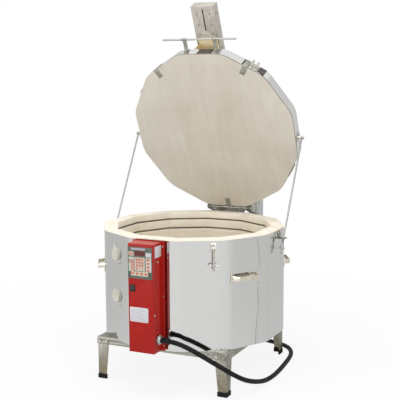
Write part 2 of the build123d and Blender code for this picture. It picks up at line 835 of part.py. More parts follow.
with BuildPart() as handle_brackets:
    for x in (-bar_bracket_x, bar_bracket_x):
        eye = bar_dia / 2 + running
        with BuildSketch(profile(x - bar_bracket_wide / 2)):
            with Locations((bar_y, bar_z)):
                Circle(eye + bar_bracket_thick)
            with Locations(((bar_y - apothem) / 2, bar_z + eye + bar_bracket_thick / 2)):
                Rectangle(bar_out, bar_bracket_thick)
            with Locations((-apothem - bar_bracket_thick / 2, bar_z + eye + bar_bracket_thick / 2)):
                Rectangle(bar_bracket_thick, 40)
            with Locations((bar_y, bar_z)):
                Circle(eye, mode=Mode.SUBTRACT)
        extrude(amount=bar_bracket_wide)
save(handle_brackets, "handle_brackets", opened)

# Boom, its slotted front cover and the saddles that carry it on the lid

with BuildPart() as boom:
    for x in (-boom_half, boom_half - boom_wall):
        with BuildSketch(profile(x)):
            with BuildLine():
                Polyline((boom_front, boom_low), (boom_front, boom_high), (boom_back, boom_high),
                         (boom_back, hinge_z - 15), (hinge_y - 13, hinge_z - 15),
                         (hinge_y - 13, boom_low), close=True)
            make_face()
            with Locations((hinge_y, hinge_z)):
                Circle(hinge_rod_dia / 2 + running, mode=Mode.SUBTRACT)
        extrude(amount=boom_wall)
    with BuildSketch(Plane.XY.offset(boom_high - boom_wall)):
        with Locations((0, (boom_front + boom_back) / 2)):
            Rectangle(2 * boom_half, boom_back - boom_front)
    extrude(amount=boom_wall)
    for y in (boom_front, boom_back - boom_wall):
        low = boom_low if y < 0 else hinge_z - 15
        with BuildSketch(Plane.XY.offset(low)):
            with Locations((0, y + boom_wall / 2)):
                Rectangle(2 * boom_half, boom_wall)
        extrude(amount=boom_high - low)
    saddle_y = (-apothem + 24, 175.0)
    saddle_hole_z = boom_low + 22
    for y in saddle_y:
        with BuildSketch(profile(-boom_half - 1)):
            with Locations((y, saddle_hole_z)):
                Circle(stand_bolt / 2 + bolt_slack)
        extrude(amount=2 * boom_half + 2, mode=Mode.SUBTRACT)
    with BuildSketch(profile(-boom_half - 1)):
        with Locations((boom_front + 42, boom_low + 24)):
            Circle(stand_bolt / 2 + bolt_slack)
    extrude(amount=2 * boom_half + 2, mode=Mode.SUBTRACT)
save(boom, "boom", opened)

cover_thick = 1.5
with BuildPart() as boom_cover:
    with BuildSketch(Plane.XY.offset(boom_low)):
        with Locations((0, (boom_front + boom_wall + cover_end) / 2)):
            Rectangle(2 * (boom_half - boom_wall), cover_end - boom_front - boom_wall)
        with Locations((0, boom_front + 72)):
            SlotOverall(112, 6, rotation=90, mode=Mode.SUBTRACT)
        for y in (boom_front + 42, boom_front + 98, boom_front + 147):
            with Locations((-34, y), (34, y)):
                SlotOverall(15, 3.2, rotation=90, mode=Mode.SUBTRACT)
        with Locations((-43, cover_end - 6), (43, cover_end - 6)):
            Circle(3.3, mode=Mode.SUBTRACT)
    extrude(amount=cover_thick)
    for x in (-boom_half + boom_wall, boom_half - boom_wall - cover_thick):
        with BuildSketch(Plane.XY.offset(boom_low + cover_thick)):
            with Locations((x + cover_thick / 2, (boom_front + boom_wall + cover_end) / 2)):
                Rectangle(cover_thick, cover_end - boom_front - boom_wall)
        extrude(amount=12)
save(boom_cover, "boom_cover", opened)

saddle_thick = 3.0
saddle_long = 46.0
saddle_in = boom_half - boom_wall - cover_thick - 0.1
with BuildPart() as boom_saddles:
    for y in saddle_y:
        with BuildSketch(Plane.XY.offset(lid_top)):
            with Locations((0, y)):
                Rectangle(2 * saddle_in, saddle_long)
        extrude(amount=saddle_thick)
        for x in (-saddle_in, saddle_in - saddle_thick):
            with BuildSketch(Plane.XY.offset(lid_top)):
                with Locations((x + saddle_thick / 2, y)):
                    Rectangle(saddle_thick, saddle_long)
            extrude(amount=boom_low + 38 - lid_top)
        with BuildSketch(profile(-boom_half)):
            with Locations((y, saddle_hole_z)):
                Circle(stand_bolt / 2 + bolt_slack)
        extrude(amount=2 * boom_half, mode=Mode.SUBTRACT)
    tongue = saddle_y[0] - saddle_long / 2 - cover_end + 12
    with BuildSketch(Plane.XY.offset(boom_low + cover_thick)):
        with Locations((0, (cover_end - 12 + saddle_y[0] + saddle_long / 2) / 2)):
            Rectangle(2 * (saddle_in - saddle_thick), tongue + saddle_long)
        with Locations((-43, cover_end - 6), (43, cover_end - 6)):
            Circle(3.3, mode=Mode.SUBTRACT)
    extrude(amount=saddle_thick)
    for y in saddle_y:
        for x in (-34, 34):
            with BuildSketch(Plane.XY.offset(lid_top - 1)):
                with Locations((x, y)):
                    Circle(stand_bolt / 2 + bolt_slack)
            extrude(amount=saddle_thick + 2, mode=Mode.SUBTRACT)
save(boom_saddles, "boom_saddles", opened)

# Levers that tie the lid to the hinge rod and to the springs

lever_foot = 66.0
lever_foot_wide = 30.0
lever_foot_thick = 3.0
pin_rel = (lever_reach * cos(radians(pin_half)), lever_reach * sin(radians(pin_half)))
with BuildPart() as hinge_levers:
    for x in (-mast_x, mast_x):
        with BuildSketch(profile(x - lever_thick / 2)):
            with BuildLine():
                Polyline((apothem - lever_foot, lid_top + 0.1), (apothem - lever_foot, lid_top + 9),
                         (apothem - 8, lid_top + 26),
                         (hinge_y + pin_rel[0] + 2, hinge_z + pin_rel[1] + 11.8),
                         (hinge_y + pin_rel[0] + 6, hinge_z + pin_rel[1] - 10),
                         (hinge_y + 8, hinge_z - 11.5), (hinge_y - 12, hinge_z - 7),
                         (apothem + 4, hinge_z + 10), (apothem + 4, lid_top + 0.1), close=True)
            make_face()
            with Locations((hinge_y, hinge_z)):
                Circle(14)
            with Locations((hinge_y + pin_rel[0], hinge_z + pin_rel[1])):
                Circle(12)
            with Locations((hinge_y, hinge_z)):
                Circle(hinge_rod_dia / 2 + running, mode=Mode.SUBTRACT)
            with Locations((hinge_y + pin_rel[0], hinge_z + pin_rel[1])):
                Circle(4 + running, mode=Mode.SUBTRACT)
        extrude(amount=lever_thick)
        with BuildSketch(Plane.XY.offset(lid_top)):
            with Locations((x, apothem - lever_foot / 2)):
                Rectangle(lever_foot_wide, lever_foot)
            with Locations((x - 9.5, apothem - 50), (x + 9.5, apothem - 50),
                           (x - 9.5, apothem - 16), (x + 9.5, apothem - 16)):
                Circle(3.3, mode=Mode.SUBTRACT)
        extrude(amount=lever_foot_thick)
save(hinge_levers, "hinge_levers", opened)


def hex_bolt(place, grip, dia=6.0, across=5.0, head=4.0):
    """Bolt whose head sits on place and whose shank runs back through the grip."""
    with BuildSketch(place) as hexagon:
        RegularPolygon(across, 6, major_radius=False)
    extrude(hexagon.sketch, amount=head)
    with BuildSketch(place) as shank:
        Circle(dia / 2)
    extrude(shank.sketch, amount=-grip)


with BuildPart() as lid_bolts:
    for x in (-mast_x, mast_x):
        for dx in (-9.5, 9.5):
            for back in (50, 16):
                spot = Plane(origin=(x + dx, apothem - back, lid_top + lever_foot_thick))
                hex_bolt(spot, lever_foot_thick)
    for y in saddle_y:
        for x in (-34, 34):
            spot = Plane(origin=(x, y, lid_top + saddle_thick))
            hex_bolt(spot, saddle_thick, stand_bolt, 6.5, bolt_head)
    for x in (-43, 43):
        spot = Plane(origin=(x, cover_end - 6, boom_low), x_dir=(1, 0, 0), z_dir=(0, 0, -1))
        hex_bolt(spot, cover_thick + saddle_thick)
    for hand in (-1, 1):
        for y in saddle_y:
            spot = Plane(origin=(hand * boom_half, y, saddle_hole_z), x_dir=(0, 1, 0), z_dir=(hand, 0, 0))
            hex_bolt(spot, boom_half - saddle_in + saddle_thick, stand_bolt, 6.5, bolt_head)
    spot = Plane(origin=(boom_half, boom_front + 42, boom_low + 24), x_dir=(0, 1, 0), z_dir=(1, 0, 0))
    hex_bolt(spot, 2 * boom_half, stand_bolt, 6.5, bolt_head)
    spot = Plane(origin=(-boom_half, boom_front + 42, boom_low + 24), x_dir=(0, 1, 0), z_dir=(-1, 0, 0))
    hex_bolt(spot, 1, stand_bolt, 6.5, bolt_head)
save(lid_bolts, "lid_bolts", opened)

# Keeper on the lid that the swing bolt drops into

keeper_z = lid_under + 28
keeper_out = 38.0
with BuildPart() as latch_keeper:
    with BuildSketch(flat(latch_side)):
        with Locations((latch_along, keeper_z)):
            RectangleRounded(42, 46, 4)
    extrude(amount=bracket_plate)
    with BuildSketch(shelf(latch_side, keeper_z)):
        with Locations((latch_along, keeper_out / 2)):
            Rectangle(40, keeper_out)
        with Locations((latch_along, latch_out - latch_bolt / 2 - 1.5 + keeper_out / 2)):
            Rectangle(latch_bolt + 2, keeper_out, mode=Mode.SUBTRACT)
    extrude(amount=5)
save(latch_keeper, "latch_keeper", opened)

# Pivots of the support rods on the lid, and the rods

rod_eye = 9.0
rod_eye_thick = 8.0
with BuildPart() as rod_pivots:
    for side in (-90, 90):
        along = rod_pin_y if side > 0 else -rod_pin_y
        with BuildSketch(flat(side)):
            with Locations((along, rod_pin_z + 4)):
                RectangleRounded(38, 52, 4)
        extrude(amount=3)
        with BuildSketch(flat(side)):
            with Locations((along, rod_pin_z)):
                Circle(7)
        extrude(amount=rod_out - rod_eye_thick / 2 - 0.5)
        with BuildSketch(flat(side)):
            with Locations((along, rod_pin_z)):
                Circle(4)
        extrude(amount=rod_out + rod_eye_thick / 2 + 0.5)
        with BuildSketch(flat(side, rod_out + rod_eye_thick / 2 + 0.5)):
            with Locations((along, rod_pin_z)):
                RegularPolygon(7, 6, major_radius=False)
        extrude(amount=5)
save(rod_pivots, "rod_pivots", opened)

pivot = opened * Location((0, rod_pin_y, rod_pin_z))
rod_y = pivot.position.Y
rod_z = pivot.position.Z
rod_fall = Vector(0, guide_y - rod_y, guide_z - rod_z).normalized()
for name, hand in (("left", -1), ("right", 1)):
    x = hand * (apothem + rod_out)
    down = Plane(origin=(x, rod_y, rod_z), x_dir=(1, 0, 0), z_dir=rod_fall)
    with BuildPart() as support_rod:
        with BuildSketch(down):
            Circle(rod_dia / 2)
        extrude(amount=rod_length)
        with BuildSketch(profile(x - rod_eye_thick / 2)):
            with Locations((rod_y, rod_z)):
                Circle(rod_eye)
        extrude(amount=rod_eye_thick)
        with BuildSketch(profile(x - rod_eye_thick / 2)):
            with Locations((rod_y, rod_z)):
                Circle(4 + running)
        extrude(amount=rod_eye_thick, mode=Mode.SUBTRACT)
        with BuildSketch(down.offset(rod_length - 36)):
            Circle(8.5)
        extrude(amount=12, taper=8)
        for side in (-1, 1):
            with BuildSketch(Plane(origin=down.from_local_coords((0, -1.6, 0)), x_dir=down.x_dir,
                                   z_dir=down.y_dir)):
                with BuildLine():
                    at = -(rod_length - 30)
                    Polyline((side * 5, at + 4), (side * 12, at - 1), (side * 16, at - 9),
                             (side * 16, at + 1), (side * 9, at + 6), (side * 5, at + 6), close=True)
                make_face()
            extrude(amount=3.2)
    save(support_rod, "support_rod_" + name)

# Control box on the front side: back plate on spacers, red cover and what is in it

plate_middle = (plate_low + plate_high) / 2
spacers = [(box_middle + dx, z) for dx in (-58, 58)
           for z in (plate_low + 44, plate_middle, plate_high - 44)]
front_z = flat(0)
with BuildPart() as control_back_plate:
    with BuildSketch(flat(0, plate_out)):
        with Locations((box_middle, (plate_low + plate_high) / 2)):
            Rectangle(2 * plate_half, plate_high - plate_low)
    extrude(amount=box_wall)
    with BuildSketch(front_z):
        with Locations(*spacers):
            Circle(7)
    extrude(amount=plate_out)
    for row in range(rows):
        for z in groove_heights(row):
            with BuildSketch(flat(0, plate_out - 1)):
                with Locations((tail_side, z)):
                    Circle(tail_dia / 2 + 4)
            extrude(amount=box_wall + 2, mode=Mode.SUBTRACT)
    with BuildSketch(flat(0, plate_out - 1)):
        with Locations((0, probe_z)):
            Circle(probe_dia / 2 + 1)
    extrude(amount=box_wall + 2, mode=Mode.SUBTRACT)
save(control_back_plate, "control_back_plate")

cover_base = plate_out + box_wall
switch_u = -50.0
switch_z = box_high - 199.5
switch_wide = 22.0
switch_tall = 27.0
panel_u = -11.0
panel_z = box_high - 84.5
panel_wide = 121.0
panel_tall = 141.0
panel_thick = 1.5
window_u = panel_u
window_z = panel_z + 42.5
window_wide = 52.0
window_tall = 22.0
gland_hole = 13.5
side_screws = ((48.0, box_high - 83.0), (82.0, box_low + 174.5))
box_edge = box_middle + box_half
with BuildPart() as control_cover:
    with BuildSketch(flat(0, cover_base)):
        with Locations((box_middle, (box_low + box_high) / 2)):
            Rectangle(2 * box_half, box_high - box_low)
    extrude(amount=box_out - cover_base)
    fillet(control_cover.edges().filter_by(Axis.Z).group_by(Axis.Y)[0], 2.5)
    with BuildSketch(flat(0, cover_base)):
        with Locations((box_middle, (box_low + box_high) / 2)):
            Rectangle(2 * (box_half - box_wall), box_high - box_low - 2 * box_wall)
    extrude(amount=box_out - cover_base - box_wall, mode=Mode.SUBTRACT)
    with BuildSketch(flat(0, box_out - 5)):
        with Locations((switch_u, switch_z)):
            Rectangle(switch_wide + 0.4, switch_tall + 0.4)
        with Locations((panel_u, panel_z)):
            Rectangle(panel_wide - 14, panel_tall - 14)
    extrude(amount=10, mode=Mode.SUBTRACT)
    with BuildSketch(profile(box_edge - 5)):
        with Locations((-apothem - gland_out, gland_z)):
            Circle(gland_hole)
    extrude(amount=10, mode=Mode.SUBTRACT)
    for out, z in side_screws:
        with BuildSketch(profile(box_middle - box_half - 1)):
            with Locations((-apothem - out, z)):
                Circle(screw_hole)
        extrude(amount=2 * box_half + 2, mode=Mode.SUBTRACT)
save(control_cover, "control_cover")

with BuildPart() as controller_panel:
    with BuildSketch(flat(0, box_out)):
        with Locations((panel_u, panel_z)):
            RectangleRounded(panel_wide, panel_tall, 3)
        with Locations((window_u, window_z)):
            Rectangle(window_wide, window_tall, mode=Mode.SUBTRACT)
    extrude(amount=panel_thick)
save(controller_panel, "controller_panel")

with BuildPart() as display_window:
    with BuildSketch(flat(0, box_out - 1)):
        with Locations((window_u, window_z)):
            Rectangle(window_wide - 0.4, window_tall - 0.4)
    extrude(amount=panel_thick + 0.7)
    with BuildSketch(flat(0, box_out - 2)):
        with Locations((window_u, window_z)):
            Rectangle(window_wide + 6, window_tall + 6)
    extrude(amount=2)
save(display_window, "display_window")

key_tall = 0.8
keypad_u = panel_u - 1.0
keypad_z = panel_z - 4.5
with BuildPart() as keypad:
    with BuildSketch(flat(0, box_out + panel_thick)):
        with Locations((keypad_u, keypad_z)):
            with GridLocations(14, 13.5, 3, 4):
                RectangleRounded(11, 10, 1.5)
        with Locations((keypad_u + 42.5, keypad_z - 3)):
            with GridLocations(10, 16, 1, 4):
                RectangleRounded(19, 12, 1.5)
        with Locations((keypad_u - 2, keypad_z - 43)):
            with GridLocations(22, 10, 4, 1):
                RectangleRounded(17, 15, 1.5)
    extrude(amount=key_tall)
save(keypad, "keypad")

with BuildPart() as rocker_frame:
    with BuildSketch(flat(0, box_out)):
        with Locations((switch_u, switch_z)):
            RectangleRounded(switch_wide + 4, switch_tall + 4, 2)
    extrude(amount=2)
    with BuildSketch(flat(0, box_out - 20)):
        with Locations((switch_u, switch_z)):
            Rectangle(switch_wide, switch_tall)
    extrude(amount=20)
    with BuildSketch(flat(0, box_out - 18)):
        with Locations((switch_u, switch_z)):
            Rectangle(switch_wide - 2, switch_tall - 2)
    extrude(amount=21, mode=Mode.SUBTRACT)
    with BuildSketch(profile(switch_u - switch_wide / 2 + 0.5)):
        with Locations((-apothem - box_out + 4, switch_z)):
            Circle(1.5)
    extrude(amount=switch_wide - 1)
save(rocker_frame, "rocker_frame")

rocker_tilt = 8.0
rocker_y = -apothem - box_out + 4
tilted = Location((0, rocker_y, switch_z)) * Rot(-rocker_tilt, 0, 0) * Location((0, -rocker_y, -switch_z))
with BuildPart() as rocker:
    with BuildSketch(Plane(origin=(switch_u - 9.3, rocker_y, switch_z), x_dir=(0, 1, 0), z_dir=(1, 0, 0))):
        with BuildLine():
            Polyline((4, -8), (4, 8), (-7.2, 10.8), (-5.2, 0), (-7.2, -10.8), close=True)
        make_face()
        Circle(1.5 + running, mode=Mode.SUBTRACT)
    extrude(amount=18.6)
save(rocker, "rocker", tilted)

with BuildPart() as label_plates:
    with BuildSketch(flat(0, box_out)):
        with Locations((box_middle - 10, box_low + 172)):
            RectangleRounded(92, 66, 6)
    extrude(amount=0.6)
    with BuildSketch(profile(box_edge)):
        with Locations((-apothem - 44, box_high - 37)):
            RectangleRounded(58, 50, 2)
    extrude(amount=0.5)
save(label_plates, "label_plates")

flange_screws = [(u, z) for u in (box_middle - plate_half + 8, box_middle + plate_half - 8)
                 for z in (plate_low + 24, plate_middle, plate_high - 23)]
with BuildPart() as cover_screws:
    for hand in (-1, 1):
        for out, z in side_screws:
            face = Plane(origin=(box_middle + hand * box_half, -apothem - out, z), z_dir=(hand, 0, 0))
            with BuildSketch(face):
                Circle(screw_head)
            extrude(amount=screw_head_tall, taper=18)
            with BuildSketch(face):
                Circle(screw_shank)
            extrude(amount=-box_wall - 6)
    for u, z in flange_screws:
        with BuildSketch(flat(0, cover_base)):
            with Locations((u, z)):
                Circle(screw_head)
        extrude(amount=screw_head_tall, taper=18)
save(cover_screws, "cover_screws")

board_out = box_out - 14
with BuildPart() as circuit_board:
    with BuildSketch(flat(0, board_out)):
        with Locations((panel_u, panel_z)):
            Rectangle(panel_wide - 20, panel_tall - 20)
    extrude(amount=1.6)
    with BuildSketch(flat(0, board_out)):
        with Locations((panel_u, panel_z)):
            with GridLocations(panel_wide - 26, panel_tall - 26, 2, 2):
                Circle(3)
    extrude(amount=box_out - board_out)
    with BuildSketch(flat(0, board_out - 9)):
        with Locations((panel_u - 30, panel_z - 30), (panel_u + 30, panel_z - 30), (panel_u, panel_z + 22)):
            Rectangle(24, 18)
    extrude(amount=9)
save(circuit_board, "circuit_board")

transformer_at = (box_middle + 31, box_low + 125)
with BuildPart() as transformer:
    with BuildSketch(flat(0, cover_base)):
        with Locations(transformer_at):
            Rectangle(44, 54)
    extrude(amount=40)
    with BuildSketch(flat(0, cover_base)):
        with Locations(transformer_at):
            Rectangle(30, 70)
    extrude(amount=3)
    with BuildSketch(flat(0, cover_base + 8)):
        with Locations(transformer_at):
            RectangleRounded(50, 34, 5)
    extrude(amount=26)
save(transformer, "transformer")

relay_tall = 52.0
relay_places = [(box_middle + 34, probe_z + 38 + k * (relay_tall + 10)) for k in range(3)]
with BuildPart() as relays:
    with BuildSketch(flat(0, cover_base)):
        with Locations(*relay_places):
            Rectangle(38, relay_tall)
    extrude(amount=30)
    with BuildSketch(flat(0, cover_base + 30)):
        for place in relay_places:
            with Locations(place):
                with GridLocations(22, 34, 2, 2):
                    Rectangle(6, 9)
    extrude(amount=5)
save(relays, "relays")

terminals_at = (box_middle - 11, box_low + 26)
with BuildPart() as terminal_block:
    with BuildSketch(flat(0, cover_base)):
        with Locations(terminals_at):
            RectangleRounded(84, 26, 3)
    extrude(amount=20)
    with BuildSketch(flat(0, cover_base + 20)):
        with Locations(terminals_at):
            with GridLocations(24, 10, 3, 1):
                Circle(7)
    extrude(amount=-12, mode=Mode.SUBTRACT)
save(terminal_block, "terminal_block")

# Cable gland, cord and plug

gland_mouth = box_edge + 18
gland_floor = gland_mouth - 6
with BuildPart() as cable_gland:
    for start, length, radius in ((box_edge - 12, 12, gland_hole - 0.1), (box_edge + 9, 9, 17)):
        with BuildSketch(profile(start)):
            with Locations((-apothem - gland_out, gland_z)):
                Circle(radius)
        extrude(amount=length)
    with BuildSketch(profile(box_edge)):
        with Locations((-apothem - gland_out, gland_z)):
            RegularPolygon(20, 6, major_radius=False)
    extrude(amount=9)
    with BuildSketch(profile(box_edge - 1.5 - 5)):
        with Locations((-apothem - gland_out, gland_z)):
            RegularPolygon(18, 6, major_radius=False)
            Circle(gland_hole - 0.1, mode=Mode.SUBTRACT)
    extrude(amount=5)
    with BuildSketch(profile(gland_floor)):
        with Locations((-apothem - gland_out, gland_z)):
            Circle(cord_dia / 2 + 0.4)
    extrude(amount=10, mode=Mode.SUBTRACT)
save(cable_gland, "cable_gland")

gland_y = -apothem - gland_out
plug_radius = 24.0
cord_route = [
    (gland_floor, gland_y, gland_z), (128, gland_y, gland_z), (195, -469, 243), (262, -449, 204),
    (322, -417, 160), (366, -366, 113), (394, -296, 69), (412, -212, 37), (424, -120, cord_lay + 4),
    (430, -28, cord_lay), (427, 66, cord_lay), (419, 160, cord_lay), (409, 254, cord_lay),
    (391, 340, cord_lay), (352, 415, cord_lay), (290, 462, cord_lay), (217, 487, cord_lay),
    (138, 507, cord_lay), (56, 530, cord_lay), (-24, 547, cord_lay + 2), (-96, 552, plug_radius),
]


def corner_radii(points):
    """Largest tangent arc at each corner: 0.45 of the shorter run over tan of half the turn."""
    radii = []
    for a, b, c in zip(points, points[1:], points[2:]):
        one = Vector(b) - Vector(a)
        two = Vector(c) - Vector(b)
        turn = radians(one.get_angle(two))
        radii.append(0.45 * min(one.length, two.length) / tan(turn / 2))
    return radii


cord_radii = corner_radii(cord_route)
with BuildPart() as cord:
    with BuildLine():
        lead = FilletPolyline(*cord_route, radius=cord_radii)
    with BuildSketch(Plane(origin=lead @ 0, z_dir=lead % 0)):
        Circle(cord_dia / 2)
    sweep(path=lead)
save(cord, "cord")
print("cord length", round(lead.length, 1), "section x length", round(pi * cord_dia ** 2 / 4 * lead.length),
      "volume", round(cord.part.volume))
print("cord radii", [round(r) for r in cord_radii])

plug_dir = (Vector(cord_route[-1]) - Vector(cord_route[-2])).normalized()
plug_plane = Plane(origin=cord_route[-1], x_dir=(plug_dir.Y, -plug_dir.X, 0), z_dir=plug_dir)
with BuildPart() as plug:
    with BuildSketch(plug_plane):
        Circle(cord_dia / 2 + 3)
    with BuildSketch(plug_plane.offset(22)):
        Circle(plug_radius - 3)
    loft()
    with BuildSketch(plug_plane.offset(22)):
        Circle(plug_radius)
    extrude(amount=44)
    with BuildSketch(plug_plane.offset(66)):
        with Locations((-9, 4), (9, 4)):
            Rectangle(2, 12)
        with Locations((0, -10)):
            Circle(2.6)
    extrude(amount=24)
    split(bisect_by=Plane.XY, keep=Keep.TOP)
save(plug, "plug")
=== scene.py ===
import json
import math

import bmesh
import bpy
from mathutils import Matrix, Vector

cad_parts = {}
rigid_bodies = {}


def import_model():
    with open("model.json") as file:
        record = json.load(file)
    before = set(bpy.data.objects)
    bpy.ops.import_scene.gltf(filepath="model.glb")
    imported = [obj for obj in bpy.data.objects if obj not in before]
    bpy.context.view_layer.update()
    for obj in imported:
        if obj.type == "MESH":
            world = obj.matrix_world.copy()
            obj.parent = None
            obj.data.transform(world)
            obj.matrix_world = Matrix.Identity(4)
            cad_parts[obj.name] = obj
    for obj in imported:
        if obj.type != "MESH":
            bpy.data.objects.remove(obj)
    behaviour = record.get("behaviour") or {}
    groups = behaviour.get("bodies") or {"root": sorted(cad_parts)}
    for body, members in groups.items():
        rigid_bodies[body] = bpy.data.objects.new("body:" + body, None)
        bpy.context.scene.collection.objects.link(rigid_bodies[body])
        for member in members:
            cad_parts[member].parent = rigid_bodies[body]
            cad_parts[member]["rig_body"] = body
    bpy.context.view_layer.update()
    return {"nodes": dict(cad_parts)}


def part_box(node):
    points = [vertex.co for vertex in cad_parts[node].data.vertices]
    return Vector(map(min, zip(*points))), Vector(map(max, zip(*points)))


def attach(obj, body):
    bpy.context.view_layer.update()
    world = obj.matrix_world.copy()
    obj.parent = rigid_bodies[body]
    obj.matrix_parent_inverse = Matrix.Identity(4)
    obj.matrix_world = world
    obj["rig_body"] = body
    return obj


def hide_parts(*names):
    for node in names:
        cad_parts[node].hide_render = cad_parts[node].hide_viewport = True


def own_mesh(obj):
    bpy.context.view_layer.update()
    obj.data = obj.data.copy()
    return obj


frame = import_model()

# Viewpoint and studio: a camera a little above the rim, in front and to the right of the box side,
# a white surround that the polished steel mirrors, and three large soft lamps.

CAMERA_AT = (1.8598, -3.8761, 1.4380)
CAMERA_AZIMUTH = math.radians(25.20)
CAMERA_PITCH = math.radians(8.098)
CAMERA_ROLL = math.radians(-0.3225)
CAMERA_LENS = 80.54
CAMERA_REACH = 40
SENSOR = 36.0
# Each lamp's name, place, aim, width and height, and watts.
LAMPS = (
    ("lamp_left", (-3.2, -4.6, 1.1), (0, 0, 0.8), (3.0, 2.0), 76),
    ("lamp_right", (4.2, -3.6, 1.0), (0, 0, 0.8), (3.0, 1.8), 70),
    ("lamp_top", (0.2, -0.8, 4.2), (0, 0, 0.4), (3.0, 3.0), 82),
)
SKY_TINT = (0.96, 0.98, 1.0, 1)
SKY_STRENGTH = 0.62
# The surround's level at each angle from the studio's front, in degrees. Its ceiling begins at the
# first height, is full at the second and has the third as its level.
STUDIO_LEVELS = (
    (-180, 0.66), (-86, 0.69), (-50, 0.85), (-25, 1.0), (10, 1.0), (34, 0.97), (64, 0.93),
    (94, 0.77), (124, 0.74), (154, 0.7), (180, 0.66),
)
STUDIO_CEILING = (0.15, 0.55, 0.92)
FLOOR_HALF = 9.0
FLOOR_UNDER = 0.0005
FLOOR_PAINT = (0.85, 0.85, 0.85, 1)
FLOOR_WHITE_SHARE = 0.88
SHADOW_REACH = (0.9, 2.4)
VECTORS = "ShaderNodeVectorMath"


def new_object(name, data):
    thing = bpy.data.objects.new(name, data)
    bpy.context.scene.collection.objects.link(thing)
    return thing


def wire(tree, source, target):
    """Feeds a socket from another node's output, or with a plain value."""
    if isinstance(source, bpy.types.NodeSocket):
        tree.links.new(source, target)
    else:
        target.default_value = source


def maths(tree, kind, *values, family="ShaderNodeMath"):
    node = tree.nodes.new(family)
    node.operation = kind
    for socket, value in zip(node.inputs, values):
        wire(tree, value, socket)
    return node.outputs[0]


def spread(tree, source, low, high, first=0.0, last=1.0):
    """A value between low and high spread over first to last."""
    node = tree.nodes.new("ShaderNodeMapRange")
    for label, value in (
        ("Value", source), ("From Min", low), ("From Max", high), ("To Min", first), ("To Max", last),
    ):
        wire(tree, value, node.inputs[label])
    return node.outputs["Result"]


def ramp(tree, source, stops):
    """A colour ramp over a 0 to 1 value. Stops are (place, colour)."""
    band = tree.nodes.new("ShaderNodeValToRGB")
    for element, (at, colour) in zip(band.color_ramp.elements, (stops[0], stops[-1])):
        element.position = at
        element.color = (*colour, 1)
    for at, colour in stops[1:-1]:
        band.color_ramp.elements.new(at).color = (*colour, 1)
    wire(tree, source, band.inputs[0])
    return band.outputs[0]


def seen_level(tree, path, direction):
    """White for the camera, and for other rays the studio's level in degrees from its front."""
    apart = tree.nodes.new("ShaderNodeSeparateXYZ")
    wire(tree, direction, apart.inputs[0])
    forward = maths(tree, "MULTIPLY", apart.outputs["Y"], -1)
    turn = maths(tree, "ARCTAN2", apart.outputs["X"], forward)
    share = maths(tree, "ADD", maths(tree, "DIVIDE", turn, 2 * math.pi), 0.5)
    stops = [(degrees / 360 + 0.5, (level, level, level)) for degrees, level in STUDIO_LEVELS]
    start, full, bright = STUDIO_CEILING
    ceiling = spread(tree, apart.outputs["Z"], start, full, 0, bright)
    level = maths(tree, "MAXIMUM", ramp(tree, share, stops), ceiling)
    return maths(tree, "MAXIMUM", path.outputs["Is Camera Ray"], level)


def seen_or_lit(tree, share, lit, seen, end):
    """The lit shader, with the seen one over it by that share."""
    mix = tree.nodes.new("ShaderNodeMixShader")
    for source, socket in zip((share, lit.outputs[0], seen.outputs[0]), mix.inputs):
        wire(tree, source, socket)
    wire(tree, mix.outputs[0], tree.nodes.new(end).inputs[0])


camera = new_object("camera", bpy.data.cameras.new("camera"))
camera.data.sensor_width = SENSOR
camera.data.lens = CAMERA_LENS
camera.data.clip_end = CAMERA_REACH
camera.matrix_world = (
    Matrix.Translation(CAMERA_AT)
    @ Matrix.Rotation(CAMERA_AZIMUTH, 4, "Z")
    @ Matrix.Rotation(math.pi / 2 - CAMERA_PITCH, 4, "X")
    @ Matrix.Rotation(CAMERA_ROLL, 4, "Z")
)
bpy.context.scene.camera = camera
bpy.context.scene.view_settings.view_transform = "Standard"
for name, place, aim, size, watts in LAMPS:
    lamp = new_object(name, bpy.data.lights.new(name, "AREA"))
    lamp.data.shape = "RECTANGLE"
    lamp.data.size, lamp.data.size_y = size
    lamp.data.energy = watts
    lamp.location = place
    lamp.rotation_euler = (Vector(aim) - Vector(place)).to_track_quat("-Z", "Y").to_euler()

world = bpy.data.worlds.new("studio")
bpy.context.scene.world = world
world.use_nodes = True
sky = world.node_tree
sky.nodes.clear()
sky_light = sky.nodes.new("ShaderNodeBackground")
sky_light.inputs["Color"].default_value = SKY_TINT
sky_light.inputs["Strength"].default_value = SKY_STRENGTH
sky_seen = sky.nodes.new("ShaderNodeBackground")
sky_seen.inputs["Color"].default_value = (1, 1, 1, 1)
sky_path = sky.nodes.new("ShaderNodeLightPath")
sky_place = sky.nodes.new("ShaderNodeTexCoord")
wire(sky, seen_level(sky, sky_path, sky_place.outputs["Generated"]), sky_seen.inputs["Strength"])
sky_share = sky_path.outputs["Is Camera Ray"]
for ray in ("Is Glossy Ray", "Is Transmission Ray"):
    sky_share = maths(sky, "MAXIMUM", sky_share, sky_path.outputs[ray])
seen_or_lit(sky, sky_share, sky_light, sky_seen, "ShaderNodeOutputWorld")

